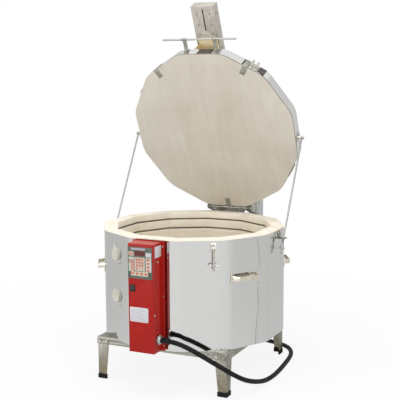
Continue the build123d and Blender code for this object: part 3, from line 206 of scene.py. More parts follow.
floor_mesh = bpy.data.meshes.new("floor")
corners = [
    (x * FLOOR_HALF, y * FLOOR_HALF, -FLOOR_UNDER) for x, y in ((-1, -1), (1, -1), (1, 1), (-1, 1))
]
floor_mesh.from_pydata(corners, [], [(0, 1, 2, 3)])
floor = new_object("floor", floor_mesh)
floor_paint = bpy.data.materials.new("floor_paint")
floor_paint.use_nodes = True
tree = floor_paint.node_tree
tree.nodes.clear()
floor_matt = tree.nodes.new("ShaderNodeBsdfDiffuse")
floor_matt.inputs["Color"].default_value = FLOOR_PAINT
floor_glow = tree.nodes.new("ShaderNodeEmission")
floor_place = tree.nodes.new("ShaderNodeTexCoord").outputs["Object"]
floor_path = tree.nodes.new("ShaderNodeLightPath")
wire(tree, seen_level(tree, floor_path, floor_place), floor_glow.inputs["Strength"])
floor_near = tree.nodes.new(VECTORS)
floor_near.operation = "LENGTH"
wire(tree, floor_place, floor_near.inputs[0])
floor_share = spread(tree, floor_near.outputs["Value"], *SHADOW_REACH, FLOOR_WHITE_SHARE)
floor_seen = maths(
    tree, "MAXIMUM", floor_path.outputs["Is Camera Ray"], floor_path.outputs["Is Glossy Ray"]
)
floor_share = maths(tree, "MULTIPLY", floor_seen, floor_share)
seen_or_lit(tree, floor_share, floor_matt, floor_glow, "ShaderNodeOutputMaterial")
floor_mesh.materials.append(floor_paint)

# Power cord: a heavy black rubber lead of about 1.7 m that leaves the box at its gland, swings round
# the front right leg and lies on the floor behind the kiln, where its moulded plug ends it.

CORD_DIAMETER = 0.022
CORD_LAY = CORD_DIAMETER / 2
CORD_ROUTE = (
    (0.066, -0.4827, 0.2673), (0.128, -0.4827, 0.2673), (0.195, -0.469, 0.243), (0.262, -0.449, 0.204),
    (0.322, -0.417, 0.160), (0.366, -0.366, 0.113), (0.394, -0.296, 0.069), (0.412, -0.212, 0.037),
    (0.424, -0.120, CORD_LAY + 0.004), (0.430, -0.028, CORD_LAY), (0.427, 0.066, CORD_LAY),
    (0.419, 0.160, CORD_LAY), (0.409, 0.254, CORD_LAY), (0.391, 0.340, CORD_LAY),
    (0.352, 0.415, CORD_LAY), (0.290, 0.462, CORD_LAY), (0.217, 0.487, CORD_LAY),
    (0.138, 0.507, CORD_LAY), (0.056, 0.530, CORD_LAY), (-0.024, 0.547, CORD_LAY + 0.002),
    (-0.096, 0.552, 0.024),
)
CORD_ROUND_STEPS = 5
CORD_LONG_STEPS = 10
NOISE_ROUGHNESS = 0.6
BLOTCH_EDGES = (0.35, 0.65)


def inputs_for(tree, rows):
    """Adds the named inputs, with their default values, to a node group."""
    for label, kind, value in rows:
        socket = tree.interface.new_socket(
            name=label, in_out="INPUT", socket_type="NodeSocket" + kind
        )
        if value is not None:
            socket.default_value = value


def mottle_group():
    """Soft blotches and fine grain on the piece's own coordinates, stretched along X, Y and Z."""
    made = bpy.data.node_groups.new("mottle", "ShaderNodeTree")
    inputs_for(made, (
        ("Blotch Size", "Float", 8.0), ("Grain Size", "Float", 200.0), ("Stretch", "Vector", (1, 1, 1)),
    ))
    for label in ("Blotch", "Grain"):
        made.interface.new_socket(name=label, in_out="OUTPUT", socket_type="NodeSocketFloat")
    start = made.nodes.new("NodeGroupInput")
    end = made.nodes.new("NodeGroupOutput")
    place = made.nodes.new("ShaderNodeTexCoord").outputs["Object"]
    stretched = maths(made, "MULTIPLY", place, start.outputs["Stretch"], family=VECTORS)
    for size, result, detail in (("Blotch Size", "Blotch", 3.0), ("Grain Size", "Grain", 2.0)):
        noise = made.nodes.new("ShaderNodeTexNoise")
        noise.inputs["Detail"].default_value = detail
        noise.inputs["Roughness"].default_value = NOISE_ROUGHNESS
        wire(made, stretched, noise.inputs["Vector"])
        wire(made, start.outputs[size], noise.inputs["Scale"])
        wire(made, noise.outputs["Fac"], end.inputs[result])
    return made


MOTTLE = mottle_group()


def blank_finish(name, metallic=0.0, shine=0.5):
    """A material with its Principled shader."""
    made = bpy.data.materials.new(name)
    made.use_nodes = True
    shader = made.node_tree.nodes["Principled BSDF"]
    shader.inputs["Metallic"].default_value = metallic
    shader.inputs["Specular IOR Level"].default_value = shine
    return made, made.node_tree, shader


def mottle_spots(tree, blotch, grain, stretch=(1, 1, 1)):
    """The mottle group's blotches and grain in a material."""
    spots = tree.nodes.new("ShaderNodeGroup")
    spots.node_tree = MOTTLE
    for label, value in (("Blotch Size", blotch), ("Grain Size", grain), ("Stretch", stretch)):
        spots.inputs[label].default_value = value
    return spots.outputs["Blotch"], spots.outputs["Grain"]


def bump(tree, shader, source, height):
    """Relief of that height in metres on the shader's normal."""
    relief = tree.nodes.new("ShaderNodeBump")
    relief.inputs["Distance"].default_value = height
    wire(tree, source, relief.inputs["Height"])
    wire(tree, relief.outputs["Normal"], shader.inputs["Normal"])


def mottled(
    name, dark, light, rough, blotch, grain, metallic=0.0, stretch=(1, 1, 1), relief=0.0, shine=0.5,
):
    """A finish whose colour and roughness wander between two values, with a fine relief."""
    made, tree, shader = blank_finish(name, metallic, shine)
    blotches, grains = mottle_spots(tree, blotch, grain, stretch)
    stops = tuple(zip(BLOTCH_EDGES, (dark, light)))
    wire(tree, ramp(tree, blotches, stops), shader.inputs["Base Color"])
    wire(tree, spread(tree, grains, 0, 1, *rough), shader.inputs["Roughness"])
    if relief:
        bump(tree, shader, grains, relief)
    return made


def dress(name, finish):
    """Gives a CAD node its finish."""
    node = frame["nodes"][name]
    node.data.materials.clear()
    node.data.materials.append(finish)


def stand_for(piece, name):
    """The piece takes the place and body of this CAD node, which is hidden."""
    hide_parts(name)
    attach(piece, frame["nodes"][name]["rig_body"])


cord_rubber = mottled(
    "cord_rubber", (0.006, 0.006, 0.0065), (0.012, 0.012, 0.0125), rough=(0.42, 0.62), blotch=30,
    grain=900, relief=0.0001, shine=0.12,
)
cord_curve = bpy.data.curves.new("power_cord", "CURVE")
cord_curve.dimensions = "3D"
cord_curve.bevel_depth = CORD_DIAMETER / 2
cord_curve.bevel_resolution = CORD_ROUND_STEPS
cord_curve.resolution_u = CORD_LONG_STEPS
cord_curve.use_fill_caps = True
lead = cord_curve.splines.new("NURBS")
lead.points.add(len(CORD_ROUTE) - 1)
for point, place in zip(lead.points, CORD_ROUTE):
    point.co = (*place, 1)
lead.order_u = 3
lead.use_endpoint_u = True
cord_curve.materials.append(cord_rubber)
power_cord = new_object("power_cord", cord_curve)
stand_for(power_cord, "cord")
dress("plug", cord_rubber)

# Stand: angle-iron rails under the body, bolted to tapered angle legs in black rubber boots. The
# steel is galvanised, and the legs are duller towards the floor.

EDGE_ANGLE = math.radians(32)
FLAT_ANGLE = math.radians(1.5)
WELD = 0.00001
SPANGLES = 90
LEG_DULL = (0.02, 0.19)


def solid_copy(name):
    """A CAD node's mesh with its triangles joined into whole faces."""
    shape = bmesh.new()
    shape.from_mesh(frame["nodes"][name].data)
    bmesh.ops.remove_doubles(shape, verts=shape.verts, dist=WELD)
    bmesh.ops.dissolve_limit(shape, angle_limit=FLAT_ANGLE, verts=shape.verts, edges=shape.edges)
    return shape


def crease(shape):
    """Smooth faces with sharp edges where the shape turns."""
    for face in shape.faces:
        face.smooth = True
    for edge in shape.edges:
        edge.smooth = edge.is_manifold and edge.calc_face_angle(math.pi) < EDGE_ANGLE


def settled(shape, name, *finishes):
    """The finished shape as a mesh with these finishes."""
    mesh = bpy.data.meshes.new(name)
    shape.to_mesh(mesh)
    shape.free()
    for finish in finishes:
        mesh.materials.append(finish)
    return mesh


def eased(name, radius, finish, segments=2):
    """Replaces a CAD node by the same shape with its edges eased by that radius."""
    shape = solid_copy(name)
    edges = [e for e in shape.edges if e.is_manifold and e.calc_face_angle(0) > EDGE_ANGLE]
    bmesh.ops.bevel(
        shape, geom=edges, offset=radius, segments=segments, profile=0.5, affect="EDGES",
        clamp_overlap=True,
    )
    crease(shape)
    piece = new_object("eased_" + name, settled(shape, "eased_" + name, finish))
    stand_for(piece, name)
    return piece


def multiplied(tree, colour, layer, share=1):
    """A colour multiplied by a layer, by that share."""
    blend = tree.nodes.new("ShaderNodeMix")
    blend.data_type = "RGBA"
    blend.blend_type = "MULTIPLY"
    for label, value in (("Factor", share), ("A", colour), ("B", layer)):
        wire(tree, value, blend.inputs[label])
    return blend.outputs["Result"]


def spangled(name, dark, light, rough, low_tint=None):
    """Galvanised steel: a patchwork of zinc crystals, duller towards the floor where it is tinted."""
    made, tree, shader = blank_finish(name, metallic=0.85)
    place = tree.nodes.new("ShaderNodeTexCoord").outputs["Object"]
    crystals = tree.nodes.new("ShaderNodeTexVoronoi")
    crystals.inputs["Scale"].default_value = SPANGLES
    wire(tree, place, crystals.inputs["Vector"])
    split = tree.nodes.new("ShaderNodeSeparateColor")
    wire(tree, crystals.outputs["Color"], split.inputs[0])
    tone = ramp(tree, split.outputs[0], ((0.0, dark), (1.0, light)))
    wire(tree, spread(tree, split.outputs[1], 0, 1, *rough), shader.inputs["Roughness"])
    if low_tint:
        apart = tree.nodes.new("ShaderNodeSeparateXYZ")
        wire(tree, place, apart.inputs[0])
        height = spread(tree, apart.outputs["Z"], *LEG_DULL)
        tone = multiplied(tree, tone, (*low_tint, 1), maths(tree, "SUBTRACT", 1, height))
    wire(tree, tone, shader.inputs["Base Color"])
    return made


galvanised = spangled("galvanised", (0.29, 0.28, 0.24), (0.37, 0.36, 0.31), (0.38, 0.52))
leg_steel = spangled(
    "leg_steel", (0.31, 0.3, 0.27), (0.4, 0.39, 0.35), (0.38, 0.52), (0.66, 0.6, 0.44)
)
zinc = mottled(
    "zinc_plate", (0.45, 0.44, 0.39), (0.62, 0.6, 0.54), rough=(0.28, 0.42), metallic=1.0,
    blotch=60, grain=500,
)
boot_rubber = mottled(
    "boot_rubber", (0.007, 0.007, 0.0065), (0.016, 0.0155, 0.015), rough=(0.55, 0.8), blotch=40,
    grain=700, relief=0.0002, shine=0.1,
)
eased("stand_rails", 0.0006, galvanised)
eased("stand_legs", 0.0006, leg_steel)
eased("rubber_feet", 0.0022, boot_rubber, 3)
dress("stand_bolts", zinc)
dress("base_plate", galvanised)

# Brick body: four rows of soft insulating brick on a brick floor, cream at the rim and a warmer beige
# on the fired inside, with eased edges where the grooves were cut.

BRICK_ROUGH = 0.92
BRICK_SHINE = 0.2
BRICK_BLOTCH = 5.0
BRICK_GRAIN = 420
BRICK_TONES = (0.3, 0.46, 0.62)
PORES = 260
PORE_WIDE = 0.35
PORE_DEEP = 0.0004
LID_BRICK_LONG = 0.2286
LID_BRICK_TALL = 0.1143
LID_JOINT = 0.0009
LID_JOINT_SOFT = 0.6
LID_JOINT_SHIFT = (0.057, 0.03, 0)
STROKES = 5
STROKE_STRETCH = (7, 1, 1)
ROWS = 4


def brick_finish(name, pale, warm, stain, joint_turn=None):
    """Porous brick: blotches, pin holes and, on the lid, faint glued joints and brush strokes."""
    made, tree, shader = blank_finish(name, shine=BRICK_SHINE)
    shader.inputs["Roughness"].default_value = BRICK_ROUGH
    blotches, grains = mottle_spots(tree, BRICK_BLOTCH, BRICK_GRAIN)
    colour = ramp(tree, blotches, tuple(zip(BRICK_TONES, (stain, warm, pale))))
    place = tree.nodes.new("ShaderNodeTexCoord").outputs["Object"]
    pores = tree.nodes.new("ShaderNodeTexVoronoi")
    pores.inputs["Scale"].default_value = PORES
    wire(tree, place, pores.inputs["Vector"])
    pits = spread(tree, pores.outputs["Distance"], 0, PORE_WIDE)
    bump(tree, shader, maths(tree, "MULTIPLY_ADD", grains, 0.5, pits), PORE_DEEP)
    if joint_turn is not None:
        turned = tree.nodes.new("ShaderNodeMapping")
        turned.inputs["Rotation"].default_value = (joint_turn, 0, 0)
        turned.inputs["Location"].default_value = LID_JOINT_SHIFT
        wire(tree, place, turned.inputs["Vector"])
        courses = tree.nodes.new("ShaderNodeTexBrick")
        courses.offset = 0.5
        for label, value in (
            ("Vector", turned.outputs[0]), ("Scale", 1.0), ("Brick Width", LID_BRICK_LONG),
            ("Row Height", LID_BRICK_TALL), ("Mortar Size", LID_JOINT),
            ("Mortar Smooth", LID_JOINT_SOFT), ("Color1", (1, 1, 1, 1)),
            ("Color2", (0.965, 0.955, 0.94, 1)), ("Mortar", (0.9, 0.87, 0.83, 1)),
        ):
            wire(tree, value, courses.inputs[label])
        strokes = tree.nodes.new("ShaderNodeTexNoise")
        strokes.inputs["Scale"].default_value = STROKES
        strokes.inputs["Detail"].default_value = 5
        long_way = maths(tree, "MULTIPLY", turned.outputs[0], STROKE_STRETCH, family=VECTORS)
        wire(tree, long_way, strokes.inputs["Vector"])
        streak = ramp(tree, strokes.outputs["Fac"], ((0.35, (0.95, 0.94, 0.93)), (0.65, (1, 1, 1))))
        for layer in (courses.outputs["Color"], streak):
            colour = multiplied(tree, colour, layer)
    wire(tree, colour, shader.inputs["Base Color"])
    return made


body_brick = brick_finish("body_brick", (0.94, 0.88, 0.77), (0.91, 0.84, 0.71), (0.86, 0.78, 0.64))
floor_brick = brick_finish("floor_brick", (0.86, 0.78, 0.64), (0.82, 0.73, 0.58), (0.75, 0.65, 0.5))
for row in range(ROWS):
    eased("brick_row_" + str(row + 1), 0.0016, body_brick, 3)
dress("floor_slab", floor_brick)

# Heating elements: resistance wire wound on a thin mandrel and pressed into the grooves, one
# element per row that runs round the upper groove, drops at the front and comes back below.

SIDES = 12
BRICK_SIDE = 0.2306
APOTHEM = BRICK_SIDE / 2 / math.tan(math.pi / SIDES)
SHEET = 0.001
WALL = 0.0635
ROW = 0.1143
BODY_BASE = 0.2525
RIM = BODY_BASE + ROWS * ROW
GROOVE_DROPS = (0.0345, 0.0825)
GROOVE_DEEP = 0.013
COIL = 0.008
COIL_WIRE = 0.0015
COIL_CLEAR = 0.0015
COIL_SAG = 0.0005
COIL_TURNS = 210.0
JOG_SIDE = 0.020
TAIL_SIDE = -0.020


def input_id(tree, label):
    """The identifier of a Geometry Nodes input."""
    for item in tree.interface.items_tree:
        if item.item_type == "SOCKET" and item.in_out == "INPUT" and item.name == label:
            return item.identifier


def coil_tree():
    """Winds a wire round a path: turns per metre, coil and wire radius, sides of the wire."""
    made = bpy.data.node_groups.new("wound_wire", "GeometryNodeTree")
    inputs_for(made, (
        ("Path", "Geometry", None), ("Turns", "Float", 200.0), ("Coil Radius", "Float", 0.004),
        ("Wire Radius", "Float", 0.0008), ("Points A Turn", "Int", 10), ("Sides", "Int", 4),
        ("Finish", "Material", None),
    ))
    made.interface.new_socket(name="Wire", in_out="OUTPUT", socket_type="NodeSocketGeometry")
    start = made.nodes.new("NodeGroupInput")
    end = made.nodes.new("NodeGroupOutput")
    length = made.nodes.new("GeometryNodeCurveLength")
    wire(made, start.outputs["Path"], length.inputs[0])
    turns = maths(made, "MULTIPLY", length.outputs[0], start.outputs["Turns"])
    count = maths(made, "MULTIPLY", turns, start.outputs["Points A Turn"])
    fine = made.nodes.new("GeometryNodeResampleCurve")
    wire(made, start.outputs["Path"], fine.inputs["Curve"])
    wire(made, count, fine.inputs["Count"])
    along = made.nodes.new("GeometryNodeSplineParameter")
    turned = maths(made, "MULTIPLY", along.outputs["Length"], start.outputs["Turns"])
    angle = maths(made, "MULTIPLY", turned, 2 * math.pi)
    normal = made.nodes.new("GeometryNodeInputNormal")
    tangent = made.nodes.new("GeometryNodeInputTangent")
    across = maths(made, "CROSS_PRODUCT", tangent.outputs[0], normal.outputs[0], family=VECTORS)
    parts = []
    for kind, direction in (("COSINE", normal.outputs[0]), ("SINE", across)):
        share = maths(made, "MULTIPLY", maths(made, kind, angle), start.outputs["Coil Radius"])
        parts.append(maths(made, "MULTIPLY", direction, share, family=VECTORS))
    offset = maths(made, "ADD", *parts, family=VECTORS)
    moved = made.nodes.new("GeometryNodeSetPosition")
    wire(made, fine.outputs[0], moved.inputs["Geometry"])
    wire(made, offset, moved.inputs["Offset"])
    section = made.nodes.new("GeometryNodeCurvePrimitiveCircle")
    wire(made, start.outputs["Sides"], section.inputs["Resolution"])
    wire(made, start.outputs["Wire Radius"], section.inputs["Radius"])
    tube = made.nodes.new("GeometryNodeCurveToMesh")
    tube.inputs["Fill Caps"].default_value = True
    wire(made, moved.outputs[0], tube.inputs["Curve"])
    wire(made, section.outputs[0], tube.inputs["Profile Curve"])
    smooth = made.nodes.new("GeometryNodeSetShadeSmooth")
    wire(made, tube.outputs[0], smooth.inputs[0])
    realised = made.nodes.new("GeometryNodeRealizeInstances")
    wire(made, smooth.outputs[0], realised.inputs[0])
    painted = made.nodes.new("GeometryNodeSetMaterial")
    wire(made, realised.outputs[0], painted.inputs["Geometry"])
    wire(made, start.outputs["Finish"], painted.inputs["Material"])
    wire(made, painted.outputs[0], end.inputs[0])
    return made


def plain_mesh(thing):
    """The mesh of a seed object after its modifiers. The seed itself goes."""
    evaluated = thing.evaluated_get(bpy.context.evaluated_depsgraph_get())
    mesh = bpy.data.meshes.new_from_object(evaluated)
    bpy.data.objects.remove(thing)
    return mesh


def grown(name, seed, tree, values):
    """A plain mesh object from a seed and a Geometry Nodes tree with these inputs."""
    thing = new_object(name + "_seed", seed)
    growth = thing.modifiers.new("growth", "NODES")
    growth.node_group = tree
    for label, value in values.items():
        growth[input_id(tree, label)] = value
    return new_object(name, plain_mesh(thing))


def poly_path(name, points):
    """A curve of straight runs through the points."""
    path = bpy.data.curves.new(name, "CURVE")
    path.dimensions = "3D"
    run = path.splines.new("POLY")
    run.points.add(len(points) - 1)
    for point, place in zip(run.points, points):
        point.co = (*place, 1)
    return path


element_wire = mottled(
    "element_wire", (0.13, 0.1, 0.06), (0.24, 0.185, 0.12), rough=(0.5, 0.7), metallic=0.5,
    blotch=40, grain=400,
)
WOUND_WIRE = coil_tree()
coil_line = APOTHEM - SHEET - WALL + GROOVE_DEEP - COIL / 2 - COIL_CLEAR
for row in range(ROWS):
    top = BODY_BASE + (row + 1) * ROW
    high, low = [top - drop - COIL_SAG for drop in GROOVE_DROPS]
    corners = []
    for k in range(SIDES):
        turn = math.pi * (2 * k + 1) / SIDES
        reach = coil_line / math.cos(math.pi / SIDES)
        corners.append((reach * math.sin(turn), -reach * math.cos(turn)))
    route = [(TAIL_SIDE, -coil_line, high)] + [(x, y, high) for x, y in corners[::-1]]
    route += [(JOG_SIDE, -coil_line, high), (JOG_SIDE, -coil_line, low)]
    route += [(x, y, low) for x, y in corners] + [(TAIL_SIDE, -coil_line, low)]
    element = grown(
        "element_" + str(row + 1), poly_path("element_path", route), WOUND_WIRE,
        {
            "Turns": COIL_TURNS, "Coil Radius": (COIL - COIL_WIRE) / 2, "Wire Radius": COIL_WIRE / 2,
            "Points A Turn": 9, "Sides": 4, "Finish": element_wire,
        },
    )
    stand_for(element, "heating_elements")

# Thermocouple: a fired clay tube with the sensing wires inside, set through the wall from the box
# into the chamber.

fired_clay = mottled(
    "fired_clay", (0.75, 0.66, 0.52), (0.86, 0.79, 0.66), rough=(0.6, 0.8), blotch=25, grain=600,
    relief=0.0002,
)
dress("thermocouple", fired_clay)

# Jacket: satin-polished stainless sheet wrapped round the bricks, bent softly at each corner, with a
# riveted lap at the right and pan-head screws for everything that hangs on it.

# Blotch and grain size, and the stretch that draws both out upright.
BRUSHING = (3.0, 55.0, (7, 7, 0.35))
WAVES = 4.5


def steel_finish(name, dark, light, rough, wave):
    """Stainless sheet: faint vertical brushing and a slow waviness that bends reflections."""
    made, tree, shader = blank_finish(name, metallic=1.0)
    blotches, grains = mottle_spots(tree, *BRUSHING)
    wire(tree, ramp(tree, grains, ((0.25, dark), (0.75, light))), shader.inputs["Base Color"])
    wire(tree, spread(tree, blotches, 0, 1, *rough), shader.inputs["Roughness"])
    place = tree.nodes.new("ShaderNodeTexCoord")
    slow = tree.nodes.new("ShaderNodeTexNoise")
    slow.inputs["Scale"].default_value = WAVES
    slow.inputs["Detail"].default_value = 0.0
    wire(tree, place.outputs["Object"], slow.inputs["Vector"])
    bump(tree, shader, slow.outputs["Fac"], wave)
    return made


def sheet_metal(name, finish):
    """Replaces a sheet by the same shape, smooth round its bends and flat on its sides."""
    shape = solid_copy(name)
    crease(shape)
    thing = new_object(name + "_seed", settled(shape, "sheet_" + name, finish))
    normals = thing.modifiers.new("normals", "WEIGHTED_NORMAL")
    normals.keep_sharp = True
    stand_for(new_object("sheet_" + name, plain_mesh(thing)), name)


def side_point(azimuth, along, out, height):
    """A point on a side of the body: azimuth from the front, along the side, outwards, up."""
    turn = math.radians(azimuth)
    reach = APOTHEM + out
    return (
        math.sin(turn) * reach + math.cos(turn) * along,
        -math.cos(turn) * reach + math.sin(turn) * along,
        height,
    )


stainless = steel_finish(
    "stainless", (0.645, 0.645, 0.632), (0.665, 0.665, 0.652), (0.05, 0.09), 0.0012
)
sheet_metal("jacket", stainless)
dress("jacket_screws", zinc)

# Lap of the jacket: the sheet's free edge wanders where it was pulled round and riveted, and it is
# rolled to a thin lip. The lap stops above and below the right handle's foot.

SEAM_SIDE = 60
SEAM_RIGHT = 0.079
# The free edge: height, and distance right of the side's middle.
SEAM_EDGE = (
    (0.2045, 0.0450), (0.2500, 0.0462), (0.3110, 0.0505), (0.3500, 0.0570), (0.3810, 0.0612),
    (0.4200, 0.0590), (0.4520, 0.0562), (0.4980, 0.0588), (0.5560, 0.0650), (0.5830, 0.0668),
    (0.6350, 0.0620), (0.6860, 0.0540), (0.7035, 0.0525),
)
SEAM_SHEET = 0.0008
# The lip's section: along the sheet from its free edge, and out from it.
SEAM_LIP = ((0, 0), (-0.0004, 0.00096), (0.0006, 0.0016), (0.0018, 0.00136), (0.003, SEAM_SHEET))
HANDLE_FOOT = (0.5010, 0.5535)


def skin(shape, near, far):
    """Joins two loops of points by a strip of faces."""
    strip = []
    for k in range(len(near)):
        after = (k + 1) % len(near)
        strip.append(shape.faces.new((near[k], far[k], far[after], near[after])))
    return strip


def seam_run(shape, low, high):
    """The lap between two heights, as columns of points from its free edge to the right."""
    heights = [low] + [z for z, _ in SEAM_EDGE if low < z < high] + [high]
    rows = []
    for z in heights:
        for (z0, u0), (z1, u1) in zip(SEAM_EDGE, SEAM_EDGE[1:]):
            if z0 <= z <= z1:
                edge = u0 + (u1 - u0) * (z - z0) / (z1 - z0)
        section = [(edge + along, out) for along, out in SEAM_LIP]
        section += [(SEAM_RIGHT, SEAM_SHEET), (SEAM_RIGHT, 0)]
        rows.append([shape.verts.new(side_point(SEAM_SIDE, u, out, z)) for u, out in section])
    for lower, upper in zip(rows, rows[1:]):
        # The lip's faces take the second finish, the painted shade.
        for quad in skin(shape, lower, upper)[:len(SEAM_LIP) - 1]:
            quad.material_index = 1
    shape.faces.new(rows[0])
    shape.faces.new(rows[-1][::-1])


# The lip is painted darker than the sheet: painted shade for the shadow line along the lap's free edge.
lip_painted_shade = mottled(
    "lip_painted_shade", (0.4, 0.4, 0.36), (0.46, 0.46, 0.42), rough=(0.35, 0.45), metallic=1.0, blotch=20,
    grain=200,
)
seam = bmesh.new()
seam_run(seam, SEAM_EDGE[0][0], HANDLE_FOOT[0])
seam_run(seam, HANDLE_FOOT[1], SEAM_EDGE[-1][0])
bmesh.ops.recalc_face_normals(seam, faces=seam.faces)
crease(seam)
seam_mesh = settled(seam, "lap_seam", stainless, lip_painted_shade)
stand_for(new_object("lap_seam", seam_mesh), "jacket_seam")

# Peepholes: turned steel rings round the two holes in the jacket, and fired clay plugs that pull out
# of them by their heads.

plug_cement = mottled(
    "plug_cement", (0.52, 0.51, 0.43), (0.6, 0.59, 0.5), rough=(0.7, 0.88), blotch=30, grain=500,
    relief=0.0002,
)
ring_steel = mottled(
    "ring_steel", (0.6, 0.6, 0.56), (0.66, 0.66, 0.62), rough=(0.5, 0.6), metallic=0.7, blotch=20,
    grain=400,
)
eased("peephole_rings", 0.0006, ring_steel)
for level in ("upper", "lower"):
    eased("peephole_plug_" + level, 0.0012, plug_cement, 3)

# Lifting handles: nickel-plated strap bent to a flat U, one on each of four sides, with its feet
# screwed to the jacket.

nickel = mottled(
    "nickel", (0.66, 0.61, 0.5), (0.82, 0.77, 0.66), rough=(0.14, 0.26), metallic=1.0, blotch=30,
    grain=300,
)
eased("lift_handles", 0.0008, nickel)

# Latch: a zinc-plated swing bolt with a wing nut, pinned to its bracket on the jacket, and the
# slotted keeper on the lid's band.

for name in ("latch_bracket", "swing_bolt", "latch_keeper"):
    eased(name, 0.0005, zinc)
eased("wing_nut", 0.0008, zinc)

# Lid: one slab of glued brick in a polished steel band, with bent retaining clips. The slab's edge
# faces are painted dark: painted shade for the shadow line between the slab and the band.

LID_ANGLE = math.radians(65.86)
SLAB_EDGE_TILT = 0.4
polished = steel_finish(
    "polished_band", (0.76, 0.755, 0.74), (0.8, 0.795, 0.78), (0.05, 0.1), 0.002
)
lid_brick = brick_finish(
    "lid_brick", (0.62, 0.582, 0.505), (0.605, 0.562, 0.485), (0.58, 0.528, 0.446), LID_ANGLE
)
# Painted shade: this dark brown on the slab's edge faces stands for the shadow line along the band.
lid_edge_painted_shade = mottled(
    "lid_edge_painted_shade", (0.1, 0.085, 0.065), (0.2, 0.175, 0.14), rough=(0.75, 0.9), blotch=20, grain=400,
    relief=0.0003,
)
slab = eased("lid_slab", 0.0006, lid_brick)
slab.data.materials.append(lid_edge_painted_shade)
# The slab's edge faces, those nearly square to its underside, take the painted shade.
under = Vector((0, -math.sin(LID_ANGLE), -math.cos(LID_ANGLE)))
for face in slab.data.polygons:
    if abs(face.normal.dot(under)) < SLAB_EDGE_TILT:
        face.material_index = 1
sheet_metal("lid_band", polished)
eased("lid_clips", 0.0005, galvanised)

# Painted reflections: three thin dark plates that lie on the band, under a clip, beside the latch
# keeper and below the front saddle, painted dark where the polished band shows dark reflections.

PLATE_THICK = 0.0005
LID_LOW = 0.7149
LID_HIGH = 0.7739
# Each plate's side in degrees, its left and right edges, and its margins above LID_LOW and below
# LID_HIGH.
PAINTED_REFLECTION_PLATES = (
    (30, -0.006, 0.0315, 0.002, 0.002), (30, 0.0765, 0.1148, 0.004, 0.006),
    (0, -0.018, 0.060, 0.002, 0.002),
)
HINGE_BACK = 0.0204
HINGE_UP = 0.0207
HINGE = Vector((0, APOTHEM + HINGE_BACK, RIM + HINGE_UP))


def added(name, mesh, near):
    """A piece that is no CAD node, on the body of the node beside it."""
    piece = new_object(name, mesh)
    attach(piece, frame["nodes"][near]["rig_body"])


# The plates' near-black is a painted reflection of dark surroundings in the polished band.
painted_reflection_sheet = mottled(
    "painted_reflection_sheet", (0.06, 0.05, 0.04), (0.12, 0.105, 0.09), rough=(0.3, 0.45), metallic=0.7, blotch=40,
    grain=300,
)
turn_open = (
    Matrix.Translation(HINGE) @ Matrix.Rotation(-LID_ANGLE, 4, "X") @ Matrix.Translation(-HINGE)
)
painted_reflection_mesh = bmesh.new()
for side, left, right, under_margin, top_margin in PAINTED_REFLECTION_PLATES:
    low, high = LID_LOW + under_margin, LID_HIGH - top_margin
    front, rear = [
        [
            painted_reflection_mesh.verts.new(turn_open @ Vector(side_point(side, u, out, z)))
            for u, z in ((left, low), (right, low), (right, high), (left, high))
        ]
        for out in (PLATE_THICK, 0.0)
    ]
    painted_reflection_mesh.faces.new(front)
    skin(painted_reflection_mesh, front, rear)
added("painted_reflection_plates", settled(painted_reflection_mesh, "painted_reflection_plates", painted_reflection_sheet), "lid_band")

# Front bar of the lid: a round steel rod that lifts it, held by two hooked brackets of galvanised
# strap on the band.

rod_steel = mottled(
    "rod_steel", (0.36, 0.36, 0.35), (0.42, 0.42, 0.41), rough=(0.35, 0.42), metallic=1.0, blotch=12,
    grain=200,
)
eased("handle_bar", 0.0004, rod_steel)
eased("handle_brackets", 0.0006, galvanised)

# Boom over the lid: a folded and painted sheet beam with its slotted cover, on yellow-plated saddles
# that are bolted through the slab, with the two levers of the hinge.

boom_paint = mottled(
    "boom_paint", (0.45, 0.41, 0.35), (0.54, 0.5, 0.44), rough=(0.38, 0.5), metallic=0.4, blotch=14,
    grain=500,
)
eased("boom", 0.0008, boom_paint)
eased("boom_cover", 0.0004, boom_paint)
yellow_zinc = mottled(
    "yellow_zinc", (0.8, 0.64, 0.36), (0.9, 0.82, 0.62), rough=(0.4, 0.55), metallic=0.4, blotch=24,
    grain=400,
)
eased("boom_saddles", 0.0006, yellow_zinc)
eased("hinge_levers", 0.0006, galvanised)
dress("lid_bolts", zinc)

# Rear masts: lipped channels on short tubes, the hinge rod, and inside each mast a pull rod with a
# compression spring that carries part of the lid's weight.

mast_steel = spangled("mast_steel", (0.5, 0.52, 0.53), (0.6, 0.62, 0.64), (0.3, 0.42))
eased("masts", 0.0008, mast_steel)
eased("mast_brackets", 0.0008, zinc)
dress("hinge_rod", zinc)
SPRING_WIRE = 0.004
SPRING_TURNS = 100.0
for side in ("left", "right"):
    eased("pull_rod_" + side, 0.0005, zinc)
    low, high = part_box("lid_spring_" + side)
    middle = (low + high) / 2
    ends = [(middle.x, middle.y, z) for z in (low.z + SPRING_WIRE / 2, high.z - SPRING_WIRE / 2)]
    spring = grown(
        "spring_" + side, poly_path("spring_path", ends), WOUND_WIRE,
        {
            "Turns": SPRING_TURNS, "Coil Radius": (high.x - low.x - SPRING_WIRE) / 2,
            "Wire Radius": SPRING_WIRE / 2, "Points A Turn": 24, "Sides": 10, "Finish": zinc,
        },
    )
    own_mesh(spring)
    stand_for(spring, "lid_spring_" + side)

# Support rods: a zinc-plated rod each side, pivoted on the lid's band and guided by a slotted
# bracket on the jacket, with a nut that stops it at the end of its travel.

for side in ("left", "right"):
    eased("support_rod_" + side, 0.0004, rod_steel)
dull_zinc = mottled(
    "dull_zinc", (0.2, 0.2, 0.165), (0.34, 0.335, 0.28), rough=(0.3, 0.45), metallic=1.0, blotch=50,
    grain=400,
)
eased("rod_guides", 0.0005, dull_zinc)
eased("rod_pivots", 0.0005, zinc)
